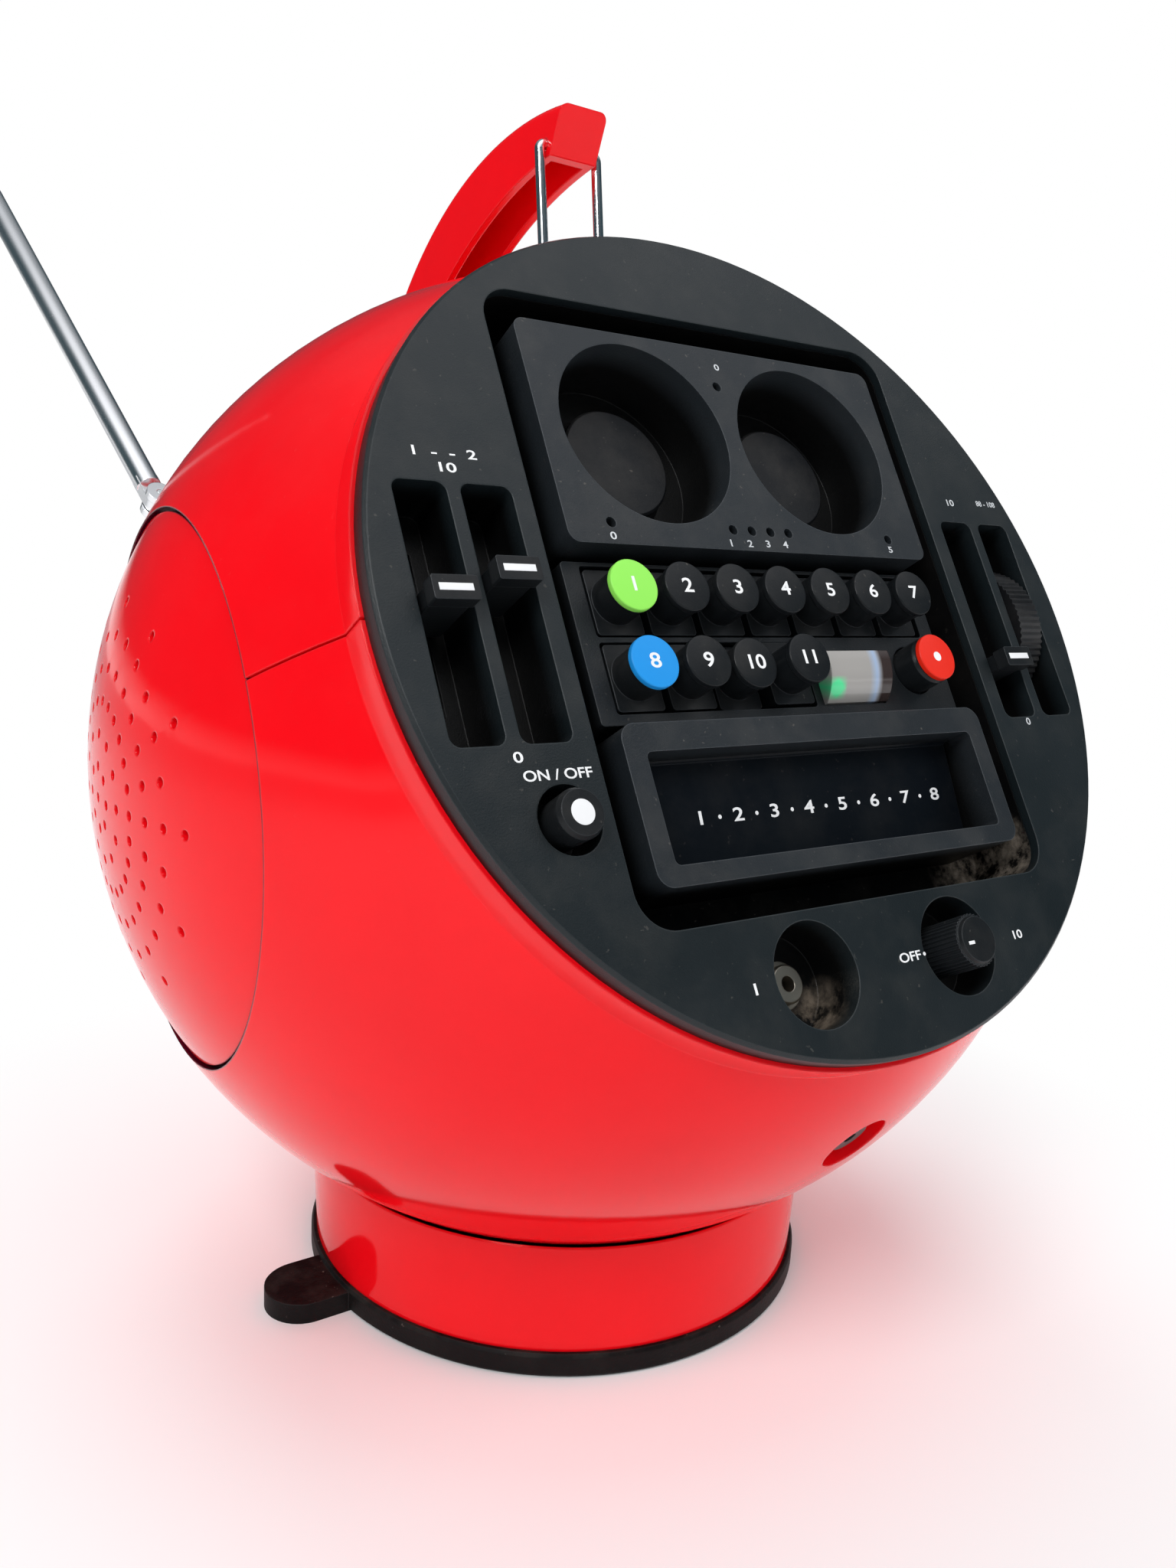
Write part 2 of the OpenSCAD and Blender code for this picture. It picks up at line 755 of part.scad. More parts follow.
module tuning_wheel() {
    span = slot_w + 2 * cheek_t;
    color("#222326") face() {
        wheel_axis(slot_u[3] - wheel_w / 2) knurled(wheel_r, 0.5, 72, wheel_w);
        wheel_axis(slot_u[3] - span / 2) cylinder(r = wheel_axle_r, h = span);
        wheel_axis(slot_u[3] - slot_w / 2 + loose) cylinder(r = 5, h = slot_w - 2 * loose);
    }
}

module power_button() {
    proud = 5;
    color(black) face() translate([power_at[0], power_at[1], 0]) {
        rotate_extrude() polygon([[0, -8], [5.2, -8], [5.5, 3.8], [4.9, proud], [0, proud]]);
        translate([0, 0, -recess_d - 6]) cylinder(r = stem_r, h = 11);
    }
}

module power_switch() {
    top = -recess_d - channel_floor;
    color(steel) face() difference() {
        slab(about(power_at[0], 7), about(power_at[1], 7), [top - 13, top]);
        recess(power_at, stem_r + 0.3, [top - 9, 0]);
    }
}

module level_knob() {
    proud = 6.4;
    color(black) face() translate([level_at[0], level_at[1], 0]) {
        translate([0, 0, -9]) knurled(6.4, 0.35, 36, proud + 8);
        translate([0, 0, proud - 1.5]) cylinder(r1 = 6, r2 = 5.4, h = 1.5);
        translate([0, 0, -recess_d - 8]) cylinder(r = stem_r, h = 12);
    }
}

socket_r = 1.8;

module mic_jack() {
    color(steel) face() translate([mic_at[0], mic_at[1], -mic_recess_d]) difference() {
        union() {
            rotate_extrude() polygon([[0, 0], [5.6, 0], [5.6, 1.6], [4.5, 1.6], [4.5, 3.6],
                                      [4.1, 4], [0, 4]]);
            translate([0, 0, -channel_floor - 1]) cylinder(r = 3.9, h = 3);
            translate([0, 0, -channel_floor - 15]) cylinder(r = 6.5, h = 15);
        }
        translate([0, 0, -12]) cylinder(r = socket_r, h = 20);
    }
}

module headphone_jack() {
    color(black) on_ball(jack_dir) translate([0, 0, -jack_dish_d]) difference() {
        union() {
            rotate_extrude() polygon([[0, 0], [6.5, 0], [6.5, 1.4], [5, 3], [0, 3]]);
            translate([0, 0, -3]) cylinder(r = 4, h = 4);
            translate([0, 0, -17]) cylinder(r = 6.5, h = 15);
        }
        translate([0, 0, -14]) cylinder(r = socket_r, h = 20);
    }
}

// ---- Speakers ----

// Rings of holes: [number of holes, first angle]; the radius grows by one step a ring
rings = [[8, 11.25], [12, 0], [24, 0], [24, 0], [24, 0], [12, 0]];

module speaker_cover(side) {
    dome_z = cover_top - cover_dome_r;
    color(red) speaker_axis(side) difference() {
        union() {
            intersection() {
                translate([0, 0, dome_z]) difference() {
                    sphere(cover_dome_r, $fn = 144);
                    sphere(cover_dome_r - cover_wall, $fn = 144);
                }
                translate([0, 0, seat_z]) cylinder(r = cover_r, h = ball_r);
            }
            translate([0, 0, seat_z]) ring(cover_r, cover_r - cover_wall, skirt_h - 1.6);
        }
        translate([0, 0, ball_r / 2]) {
            cylinder(r = hole_r, h = ball_r, $fn = 16);
            for (i = [0 : len(rings) - 1], k = [0 : rings[i][0] - 1])
                rotate(rings[i][1] + k * 360 / rings[i][0]) translate([(i + 1) * ring_step, 0])
                    cylinder(r = hole_r, h = ball_r, $fn = 16);
        }
    }
}

module speakers() {
    back = seat_z - ledge_t;
    color("#303236") for (side = [-1, 1]) speaker_axis(side) translate([0, 0, back])
        rotate_extrude() polygon([
        [0, -50], [31, -50], [32, -49], [32, -35], [28, -35], [28, -30], [56, -6], [56, -3],
        [66, -3], [66, 0], [52, 0], [50, -3], [18, -24], [0, -20]]);
}

// ---- Handle ----

// Disc with a rounded rim that lies in the handle's plane
module rimmed_disc(at, r, w, round_r) {
    translate([0, 0, ball_z]) across(w) translate(at) rotate_extrude($fn = 144) {
        square([r - round_r, w]);
        translate([0, round_r]) square([r, w - 2 * round_r]);
        for (y = [round_r, w - round_r]) translate([r - round_r, y]) circle(round_r, $fn = 32);
    }
}

// Everything behind a line through a point, in the handle's plane
module behind(at, angle) {
    translate([0, 0, ball_z]) across(60) translate(at) rotate(angle)
        translate([0, -200, 0]) cube([400, 400, 60]);
}

module handle() {
    nose = [17, 177];
    nose_angle = 22;
    tail = 16;
    color(red) difference() {
        union() {
            intersection() {
                difference() {
                    rimmed_disc(back_arc, back_r, handle_w, 2.5);
                    translate([0, 0, ball_z]) across(60) translate(grip_arc)
                        cylinder(r = grip_r, h = 60, $fn = 144);
                }
                behind(nose, nose_angle);
                // rear end, square to the ball
                translate([0, 0, ball_z]) across(60) rotate(tail)
                    translate([-200, 0, 0]) cube([400, 400, 60]);
            }
            hinge_frame(lug_w) linear_extrude(lug_w) {
                circle(hub_r);
                translate([0, -hub_r]) square([14, 2 * hub_r]);
            }
        }
        // channel, open below
        difference() {
            intersection() {
                rimmed_disc(back_arc, back_r - 3, handle_w - 2 * handle_wall, 1);
                behind(nose + [3, 0], nose_angle);
            }
            hinge_frame(40) translate([-hub_r, -20, 0]) cube([40, 32, 40]);
        }
        hinge_frame(40) cylinder(r = hinge_pin_r + fit, h = 40);
        translate([0, 0, ball_z]) across(40) translate(bail_pivot)
            cylinder(r = wire_r + fit, h = 40);
    }
}

module handle_pin() {
    w = lug_w + 2 * loose + 6;
    color(steel) hinge_frame(w) cylinder(r = hinge_pin_r, h = w);
}

// Quarter bend in the bail's wire, round z from x to y
module wire_bend(r) {
    rotate_extrude(angle = 90, $fn = 48) translate([r, 0]) circle(wire_r, $fn = 32);
}

// Bail: two legs joined by a bar inside the ball, hooked into the handle at the top
module handle_bail() {
    foot = bail_pivot - bail_leg * [sin(bail_lean), cos(bail_lean)];
    low = 4;
    high = wire_r + 0.3;
    tip = handle_w / 2 - handle_wall - 0.6;
    color(steel) translate([0, foot[0], foot[1] + ball_z]) rotate([90 - bail_lean, 0, 0]) {
        for (side = [0, 1]) mirror([side, 0, 0]) {
            translate([bail_x - low, low, 0]) rotate(-90) wire_bend(low);
            translate([bail_x, low, 0]) rotate([-90, 0, 0])
                cylinder(r = wire_r, h = bail_leg - low - high, $fn = 32);
            translate([bail_x - high, bail_leg - high, 0]) wire_bend(high);
            translate([tip, bail_leg, 0]) rotate([0, 90, 0])
                cylinder(r = wire_r, h = bail_x - high - tip, $fn = 32);
        }
        translate([low - bail_x, 0, 0]) rotate([0, 90, 0])
            cylinder(r = wire_r, h = 2 * (bail_x - low), $fn = 32);
    }
}

// ---- Antenna ----

dish_floor = -pivot_h - dish_d;
lug_r = 3.2;
fork_gap = 4;

module antenna_mount() {
    color(steel) antenna_frame() translate([0, 0, dish_floor]) difference() {
        union() {
            cylinder(r = 9, h = 1.6);
            translate([0, 0, -6]) cylinder(r = 4.4, h = 7);
        }
        translate([0, 0, -7]) cylinder(r = 2.5 + fit, h = 10);
    }
}

module antenna_swivel() {
    head = dish_floor + 1.6 + seat;
    color(steel) antenna_frame() difference() {
        union() {
            translate([0, 0, head]) cylinder(r = 6.5, h = -lug_r - seat - head);
            translate([0, 0, dish_floor - 9]) cylinder(r = 2.5, h = 10 + head - dish_floor);
            translate([0, 0, dish_floor - 9]) cylinder(r = 4, h = 2.7);
            for (side = [-1, 1]) translate([0, side * (fork_gap / 2 + 1), 0])
                rotate([90, 0, 0]) translate([0, 0, -1]) {
                    cylinder(r = lug_r + 0.6, h = 2);
                    translate([-lug_r - 0.6, -lug_r - 1, 0]) cube([2 * lug_r + 1.2, lug_r + 1, 2]);
                }
        }
        rotate([90, 0, 0]) translate([0, 0, -10]) cylinder(r = 1 + fit, h = 20);
    }
}

module antenna_tube_1() {
    lug_t = fork_gap - 2 * seat;
    color(steel) antenna_frame() rotate([0, antenna_lean, 0]) difference() {
        union() {
            rotate([90, 0, 0]) translate([0, 0, -lug_t / 2]) cylinder(r = lug_r, h = lug_t);
            translate([-lug_r, -lug_t / 2, 0]) cube([2 * lug_r, lug_t, 9]);
            rotate([90, 0, 0]) translate([0, 0, -fork_gap / 2 - 2]) cylinder(r = 1, h = fork_gap + 4);
            translate([0, 0, 6]) cylinder(r = tube_r, h = tube_l - 6);
        }
        translate([0, 0, 12]) cylinder(r = tube_r - tube_wall, h = tube_l);
    }
}

module antenna_tube_2() {
    color("#c9ccd0") antenna_frame() rotate([0, antenna_lean, 0])
        translate([0, 0, tube_l + second_out - second_l]) difference() {
            cylinder(r = second_r, h = second_l);
            translate([0, 0, 4]) cylinder(r = second_r - tube_wall, h = second_l);
        }
}

module antenna_tube_3() {
    top = tube_l + second_out + third_out;
    color("#dcdee2") antenna_frame() rotate([0, antenna_lean, 0]) {
        translate([0, 0, top - third_l]) cylinder(r = third_r, h = third_l - 1);
        translate([0, 0, top - 6]) rotate_extrude() polygon([
            [0, 0], [tube_r - 0.6, 0], [tube_r, 0.6], [tube_r, 4.4], [tube_r - 1.6, 6], [0, 6]]);
    }
}

// ---- Deck inside ----

// Draws along the deck's normal: x is u, y is n and z is v, turned so that z points down
module deck_axis(at, v) { translate([at[0], v, at[1]]) rotate([90, 0, 0]) children(); }

deck_low = deck_v - deck_t;
strap_v = deck_low - 22;

module chassis() {
    color("#9a9da1") ball() difference() {
        union() {
            slab([-deck_u, deck_u], [deck_low, deck_v], deck_n);
            for (side = [-1, 1]) {
                translate([side * (bay_w / 2 + 0.75), 0, 0])
                    slab([-0.75, 0.75], [deck_low, upright_v], upright_n);
                translate([side * (bay_w / 2 - 3.5), 0, 0])
                    slab([-5, 5], [upright_v - 1.5, upright_v], upright_n);
            }
            deck_axis(flywheel_at, deck_v + 2) cylinder(r = 5, h = deck_t + 5);
            // strap under the flywheel
            translate([flywheel_at[0], 0, flywheel_at[1]]) {
                slab([-6, 6], [strap_v - 2, strap_v], [-34, 34]);
                for (n = [-34, 32]) slab([-6, 6], [strap_v - 1, deck_v - 1], [n, n + 2]);
            }
        }
        deck_axis(flywheel_at, 0) cylinder(r = capstan_r + fit, h = ball_r);
        deck_axis(motor_at, deck_v + 1) cylinder(r = 8, h = deck_t + 2);
        for (p = deck_posts) deck_axis(p, deck_v + 1) cylinder(r = screw_r + 0.2, h = deck_t + 2);
        for (side = [-1, 1], n = [upright_n[0] + 22, upright_n[0] + 72])
            translate([side * bay_w / 2 - 5, -12, n]) rotate([0, 90, 0]) cylinder(r = 14, h = 10);
    }
}

module motor() {
    color(steel) ball() difference() {
        union() {
            deck_axis(motor_at, deck_v + 30) cylinder(r = motor_r, h = 30);
            deck_axis(motor_at, deck_v + 33) cylinder(r = 5, h = 4);
        }
        deck_axis(motor_at, deck_v + 12) cylinder(r = shaft_r + fit, h = 13);
    }
}

belt_v = deck_low - 9;

module motor_pulley() {
    color("#c9a24a") ball() {
        deck_axis(motor_at, deck_low - 5) cylinder(r = pulley_r, h = 8);
        deck_axis(motor_at, deck_v + 10) cylinder(r = shaft_r, h = deck_t + 18);
    }
}

module flywheel() {
    color("#8d9094") ball() {
        deck_axis(flywheel_at, bay_roof - 2) cylinder(r = capstan_r, h = bay_roof - 2 - strap_v - seat);
        deck_axis(flywheel_at, deck_low - 5.5) cylinder(r = step_r, h = 8);
        deck_axis(flywheel_at, deck_low - 13) cylinder(r = flywheel_r, h = 7);
    }
}

// Arc of a circle as points, from one angle to another
function arc(at, r, from, to, steps) = [for (i = [0 : steps])
    let (a = from + (to - from) * i / steps) at + r * [cos(a), sin(a)]];

// Flat loop round the pulley and the step of the flywheel, with straight runs between
module belt_outline(grow) {
    run = flywheel_at - motor_at;
    r1 = pulley_r + seat + grow;
    r2 = step_r + seat + grow;
    turn = acos((r1 - r2) / norm(run));
    base = atan2(run[1], run[0]);
    polygon(concat(arc(flywheel_at, r2, base - turn, base + turn, 48),
                   arc(motor_at, r1, base + turn, base + 360 - turn, 16)));
}

module drive_belt() {
    color("#101010") ball() translate([0, belt_v, 0]) rotate([90, 0, 0])
        linear_extrude(3) difference() {
            belt_outline(belt_t);
            belt_outline(0);
        }
}

module tape_head() {
    color(steel) ball() translate([0, 0, face_n]) {
        slab([-9, 9], [deck_v, deck_v + 3], [-124, -108]);
        slab([-6, 6], [deck_v + 2, deck_v + 17], [-122, -110]);
        slab([-4, 4], [deck_v + 6, deck_v + 14], [-111, -107]);
    }
}

module circuit_board() {
    board = [upright_v, upright_v + 1.6];
    top = board[1];
    color("#3b6a3a") ball() translate([0, 0, face_n]) {
        slab([-52, 52], board, [-158, -64]);
        for (i = [0 : 3]) translate([-38 + 22 * i, top - 0.5, -140]) rotate([-90, 0, 0])
            cylinder(r = 6.5, h = 20);
        slab([-46, -10], [top - 0.5, top + 16], [-118, -94]);
        slab([8, 40], [top - 0.5, top + 5], [-112, -100]);
        slab([8, 40], [top - 0.5, top + 5], [-88, -76]);
        for (i = [0 : 4]) slab([-40 + 8 * i, -35 + 8 * i], [top - 0.5, top + 7], [-84, -76]);
    }
}

module transformer() {
    color("#77706a") ball() translate([0, 0, deck_n[0]]) {
        slab([1, 41], [deck_v, deck_v + 20.5], [14, 46]);
        slab([7, 35], [deck_v + 1, deck_v + 22], [8, 52], 3);
    }
}

// Lid of the battery box: the piece of the shell that its opening leaves
module battery_door() {
    color(red) ball() intersection() {
        difference() {
            sphere(ball_r, $fn = 96);
            sphere(inner_r, $fn = 96);
        }
        slab(battery_u + loose * [1, -1], battery_v + loose * [1, -1],
             [-2 * ball_r, -ball_r / 2], 4 - loose);
    }
}

// Power inlet: a round socket with two pins, at the floor of its dish
module power_inlet() {
    color(black) on_ball(inlet_dir) translate([0, 0, -inlet_d]) {
        difference() {
            union() {
                cylinder(r = 8.4, h = 5);
                translate([0, 0, -3]) cylinder(r = 6, h = 4);
                translate([0, 0, -14]) cylinder(r = 7.5, h = 11.5);
            }
            translate([0, 0, -8]) cylinder(r = 4.8, h = 20);
        }
        for (x = [-1.9, 1.9]) translate([x, 0, -9]) cylinder(r = 0.75, h = 11);
    }
}

module battery_box() {
    wall = 2;
    back = -ball_r + 76;
    color("#24262a") ball() intersection() {
        sphere(inner_r - seat, $fn = 144);
        difference() {
            slab(battery_u + wall * [-1, 1], battery_v + wall * [-1, 1], [-ball_r, back], 3);
            slab(battery_u, battery_v, [-ball_r - 1, back - wall], 2);
        }
    }
}

foot_ring();
base_drum();
swivel_bolt();
upper_shell();
lower_shell();
case_screws();
fascia();
well_tray();
meter_panel();
meter_dials();
indicator_lamps();
key_bezel();
key(top_row[0], 0, key_proud);  // key_1
key(top_row[1], 0, key_proud);  // key_2
key(top_row[2], 0, key_proud);  // key_3
key(top_row[3], 0, key_proud);  // key_4
key(top_row[4], 0, key_proud);  // key_5
key(top_row[5], 0, key_proud);  // key_6
key(top_row[6], 0, key_proud);  // key_7
key(second_row[0], 1, key_proud + second_proud[0]);  // key_8
key(second_row[1], 1, key_proud + second_proud[1]);  // key_9
key(second_row[2], 1, key_proud + second_proud[2]);  // key_10
key(second_row[3], 1, key_proud + second_proud[3]);  // key_11
record_key();
counter_window();
slot_panel();
slot_door();
door_pin();
slider(0);  // slider_left
slider(1);  // slider_right
slider(2);  // slider_tone
control_pots();
tuning_wheel();
power_button();
power_switch();
level_knob();
mic_jack();
headphone_jack();
speaker_cover(-1);  // speaker_cover_left
speaker_cover(1);  // speaker_cover_right
speakers();
handle();
handle_pin();
handle_bail();
antenna_mount();
antenna_swivel();
antenna_tube_1();
antenna_tube_2();
antenna_tube_3();
chassis();
motor();
motor_pulley();
flywheel();
drive_belt();
tape_head();
circuit_board();
transformer();
battery_box();
battery_door();
power_inlet();
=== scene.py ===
import math

import bmesh
import bpy
from mathutils import Matrix, Vector


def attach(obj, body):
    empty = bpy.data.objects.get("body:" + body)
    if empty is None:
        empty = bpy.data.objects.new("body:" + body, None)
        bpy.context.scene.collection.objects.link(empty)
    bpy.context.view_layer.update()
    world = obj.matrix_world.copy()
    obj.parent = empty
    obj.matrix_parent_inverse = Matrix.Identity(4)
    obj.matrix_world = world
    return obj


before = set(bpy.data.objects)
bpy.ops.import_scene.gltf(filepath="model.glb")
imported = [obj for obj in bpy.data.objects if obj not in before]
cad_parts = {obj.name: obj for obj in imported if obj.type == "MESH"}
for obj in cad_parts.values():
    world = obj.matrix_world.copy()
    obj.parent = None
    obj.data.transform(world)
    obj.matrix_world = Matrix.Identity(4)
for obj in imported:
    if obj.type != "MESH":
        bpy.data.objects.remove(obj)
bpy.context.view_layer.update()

# ---- Camera ----
# A plain camera at the place that the photograph was taken from, a little above the middle of
# the ball and to its left, turned so that the ball leans as it does there.
camera = bpy.data.objects.new("camera", bpy.data.cameras.new("camera"))
camera.data.sensor_fit = "VERTICAL"
camera.data.sensor_height = 36
camera.data.lens = 28.573
camera.location = (-0.21179, -0.31121, 0.22214)
camera.rotation_euler = [math.radians(turn) for turn in (78.9112, -3.0302, -34.2319)]
camera.data.clip_start = 0.01
bpy.context.scene.collection.objects.link(camera)
bpy.context.scene.camera = camera
bpy.context.scene.view_settings.view_transform = "Standard"


# ---- Floor and light ----
# A plain pale floor in a white surround. Two large soft lamps stand above the player, one on
# each side of the camera, and a third behind it lights the top of the ball and the handle. Only
# the left one is mirrored in the gloss; what else that mirrors is a dim room and a bright
# ceiling in front, so that the face is light above and dark below.
def mix_of(tree, factor, first, second):
    """Mixes two colours or sockets by a mask and gives the socket of the mixture."""
    mix = tree.nodes.new("ShaderNodeMix")
    mix.data_type = "RGBA"
    sockets = [s for s in mix.inputs if s.enabled]
    for socket, value in zip(sockets, (factor, first, second)):
        if isinstance(value, bpy.types.NodeSocket):
            tree.links.new(value, socket)
        else:
            socket.default_value = value if isinstance(value, float) else (*value, 1)
    return next(s for s in mix.outputs if s.enabled)


def ranged(tree, value, low, high, new_low, new_high):
    """Spreads a value between two limits over two others, without leaving them."""
    spread = tree.nodes.new("ShaderNodeMapRange")
    tree.links.new(value, spread.inputs["Value"])
    for name, number in (("From Min", low), ("From Max", high), ("To Min", new_low),
                         ("To Max", new_high)):
        spread.inputs[name].default_value = number
    return spread.outputs["Result"]


def calculated(tree, operation, *values):
    """One Math node with numbers or sockets for its inputs."""
    math_node = tree.nodes.new("ShaderNodeMath")
    math_node.operation = operation
    for socket, value in zip(math_node.inputs, values):
        if isinstance(value, bpy.types.NodeSocket):
            tree.links.new(value, socket)
        else:
            socket.default_value = value
    return math_node.outputs["Value"]


def make_surround():
    white, dim_room, bright_ceiling = (1, 1, 1), (0.035, 0.06, 0.072), (1.5, 1.5, 1.55)
    surround = bpy.data.worlds.new("surround")
    bpy.context.scene.world = surround
    surround.use_nodes = True
    tree = surround.node_tree
    lit = tree.nodes["Background"]
    lit.inputs["Color"].default_value = (0.95, 0.97, 1, 1)
    lit.inputs["Strength"].default_value = 0.5
    shown = tree.nodes.new("ShaderNodeBackground")
    place = tree.nodes.new("ShaderNodeTexCoord")
    height = tree.nodes.new("ShaderNodeSeparateXYZ")
    tree.links.new(place.outputs["Generated"], height.inputs["Vector"])
    path = tree.nodes.new("ShaderNodeLightPath")
    wall = ranged(tree, height.outputs["Z"], 0.0, 0.07, 0.0, 1.0)
    ceiling = ranged(tree, height.outputs["Z"], 0.52, 0.84, 0.0, 1.0)
    front = ranged(tree, height.outputs["Y"], 0.15, -0.15, 0.15, 1.0)
    ceiling = calculated(tree, "MULTIPLY", ceiling, front)
    above = mix_of(tree, ceiling, dim_room, bright_ceiling)
    overhead = mix_of(tree, wall, white, above)
    tree.links.new(mix_of(tree, path.outputs["Is Glossy Ray"], white, overhead),
                   shown.inputs["Color"])
    seen = calculated(tree, "MAXIMUM", path.outputs["Is Camera Ray"],
                      path.outputs["Is Glossy Ray"])
    seen = calculated(tree, "MAXIMUM", seen, path.outputs["Is Transmission Ray"])
    mix = tree.nodes.new("ShaderNodeMixShader")
    tree.links.new(seen, mix.inputs["Fac"])
    tree.links.new(lit.outputs["Background"], mix.inputs[1])
    tree.links.new(shown.outputs["Background"], mix.inputs[2])
    tree.links.new(mix.outputs["Shader"], tree.nodes["World Output"].inputs["Surface"])


def make_floor():
    """A disc that fades to pure white, for the camera alone, from near the foot outwards."""
    fade_from, fade_to = 0.11, 0.27
    shape = bmesh.new()
    bmesh.ops.create_circle(shape, cap_ends=True, radius=9, segments=96)
    mesh = bpy.data.meshes.new("floor")
    shape.to_mesh(mesh)
    shape.free()
    floor = bpy.data.objects.new("floor", mesh)
    bpy.context.scene.collection.objects.link(floor)
    material = bpy.data.materials.new("pale_floor")
    material.use_nodes = True
    tree = material.node_tree
    shader = tree.nodes["Principled BSDF"]
    shader.inputs["Base Color"].default_value = (0.95, 0.95, 0.955, 1)
    shader.inputs["Roughness"].default_value = 0.85
    shader.inputs["Specular IOR Level"].default_value = 0.2
    place = tree.nodes.new("ShaderNodeTexCoord")
    reach = tree.nodes.new("ShaderNodeVectorMath")
    reach.operation = "LENGTH"
    tree.links.new(place.outputs["Object"], reach.inputs[0])
    path = tree.nodes.new("ShaderNodeLightPath")
    far = ranged(tree, reach.outputs["Value"], fade_from, fade_to, 0.0, 1.0)
    far = calculated(tree, "MULTIPLY", far, path.outputs["Is Camera Ray"])
    white = tree.nodes.new("ShaderNodeEmission")
    mix = tree.nodes.new("ShaderNodeMixShader")
    tree.links.new(far, mix.inputs["Fac"])
    tree.links.new(shader.outputs["BSDF"], mix.inputs[1])
    tree.links.new(white.outputs["Emission"], mix.inputs[2])
    tree.links.new(mix.outputs["Shader"], tree.nodes["Material Output"].inputs["Surface"])
    mesh.materials.append(material)


lamp_target = Vector((0, 0, 0.15))


def soft_lamp(name, place, size, power, mirrored=True):
    lamp = bpy.data.lights.new(name, "AREA")
    lamp.shape = "DISK"
    lamp.size = size
    lamp.energy = power
    holder = bpy.data.objects.new(name, lamp)
    holder.location = place
    aim = lamp_target - Vector(place)
    holder.rotation_euler = aim.to_track_quat("-Z", "Y").to_euler()
    holder.visible_glossy = mirrored
    bpy.context.scene.collection.objects.link(holder)


make_surround()
make_floor()
soft_lamp("left_lamp", (-1.0, -0.7, 1.25), 0.7, 13)
soft_lamp("right_lamp", (1.1, -0.9, 0.9), 0.9, 7.5, mirrored=False)
soft_lamp("rear_lamp", (0.1, 1.0, 1.4), 1.0, 9, mirrored=False)


# ---- Foot ring ----
# A black moulded ring with two tabs, which carries the drum and stands on the table. It is of
# a dull plastic that is softer than the case, with fine spark-eroded grain.
def effect_group(name, numbers, outputs):
    """A shader node group with named number inputs and typed outputs, and its end nodes."""
    group = bpy.data.node_groups.new(name, "ShaderNodeTree")
    for label, number in numbers.items():
        socket = group.interface.new_socket(label, in_out="INPUT",
                                            socket_type="NodeSocketFloat")
        socket.default_value = number
    for label, kind in outputs.items():
        group.interface.new_socket(label, in_out="OUTPUT", socket_type="NodeSocket" + kind)
    return group, group.nodes.new("NodeGroupInput"), group.nodes.new("NodeGroupOutput")


def noise_in(tree, place, scale, detail, roughness=0.5):
    noise = tree.nodes.new("ShaderNodeTexNoise")
    tree.links.new(place, noise.inputs["Vector"])
    if isinstance(scale, bpy.types.NodeSocket):
        tree.links.new(scale, noise.inputs["Scale"])
    else:
        noise.inputs["Scale"].default_value = scale
    noise.inputs["Detail"].default_value = detail
    noise.inputs["Roughness"].default_value = roughness
    return noise.outputs["Fac"]


def make_moulded_skin():
    """Surface of a moulding: fine grain on slow waves, and a cloud for its uneven tone."""
    group, given, out = effect_group("moulded_skin", {"Grain": 2500, "Waves": 40, "Fine": 0.5},
                                     {"Height": "Float", "Cloud": "Float"})
    place = group.nodes.new("ShaderNodeTexCoord").outputs["Object"]
    grain = noise_in(group, place, given.outputs["Grain"], 2)
    waves = noise_in(group, place, given.outputs["Waves"], 1)
    fine = calculated(group, "MULTIPLY", grain, given.outputs["Fine"])
    slow = calculated(group, "MULTIPLY", waves,
                      calculated(group, "SUBTRACT", 1.0, given.outputs["Fine"]))
    group.links.new(calculated(group, "ADD", fine, slow), out.inputs["Height"])
    cloud = noise_in(group, place, 26, 5, 0.6)
    group.links.new(ranged(group, cloud, 0.3, 0.7, 0.0, 1.0), out.inputs["Cloud"])
    return group


def make_settled_dust():
    """Dust and lint that lie on faces turned upwards: a film in patches, and single specks."""
    group, given, out = effect_group("settled_dust", {"Amount": 0.3, "Specks": 700},
                                     {"Mask": "Float"})
    place = group.nodes.new("ShaderNodeTexCoord").outputs["Object"]
    facing = group.nodes.new("ShaderNodeSeparateXYZ")
    surface = group.nodes.new("ShaderNodeNewGeometry")
    group.links.new(surface.outputs["Normal"], facing.inputs["Vector"])
    upward = ranged(group, facing.outputs["Z"], -0.1, 0.9, 0.12, 1.0)
    film = ranged(group, noise_in(group, place, 60, 6, 0.65), 0.45, 0.8, 0.0, 0.35)
    speck = ranged(group, noise_in(group, place, given.outputs["Specks"], 2), 0.7, 0.76,
                   0.0, 1.0)
    both = calculated(group, "MAXIMUM", film, speck)
    both = calculated(group, "MULTIPLY", both, upward)
    group.links.new(calculated(group, "MULTIPLY", both, given.outputs["Amount"]),
                    out.inputs["Mask"])
    return group


def make_rounded_edge():
    """A real moulding's edges are never sharp: their rounded normal, and a mask along them that
    the plastics use to paint a lighter edge, partly wear and partly highlight.
    """
    group, given, out = effect_group("rounded_edge", {"Radius": 0.0004},
                                     {"Normal": "Vector", "Mask": "Float"})
    bevel = group.nodes.new("ShaderNodeBevel")
    bevel.samples = 6
    group.links.new(given.outputs["Radius"], bevel.inputs["Radius"])
    surface = group.nodes.new("ShaderNodeNewGeometry")
    likeness = group.nodes.new("ShaderNodeVectorMath")
    likeness.operation = "DOT_PRODUCT"
    group.links.new(bevel.outputs["Normal"], likeness.inputs[0])
    group.links.new(surface.outputs["Normal"], likeness.inputs[1])
    group.links.new(bevel.outputs["Normal"], out.inputs["Normal"])
    group.links.new(ranged(group, likeness.outputs["Value"], 0.98, 0.8, 0.0, 1.0),
                    out.inputs["Mask"])
    return group


moulded_skin = make_moulded_skin()
settled_dust = make_settled_dust()
rounded_edge = make_rounded_edge()


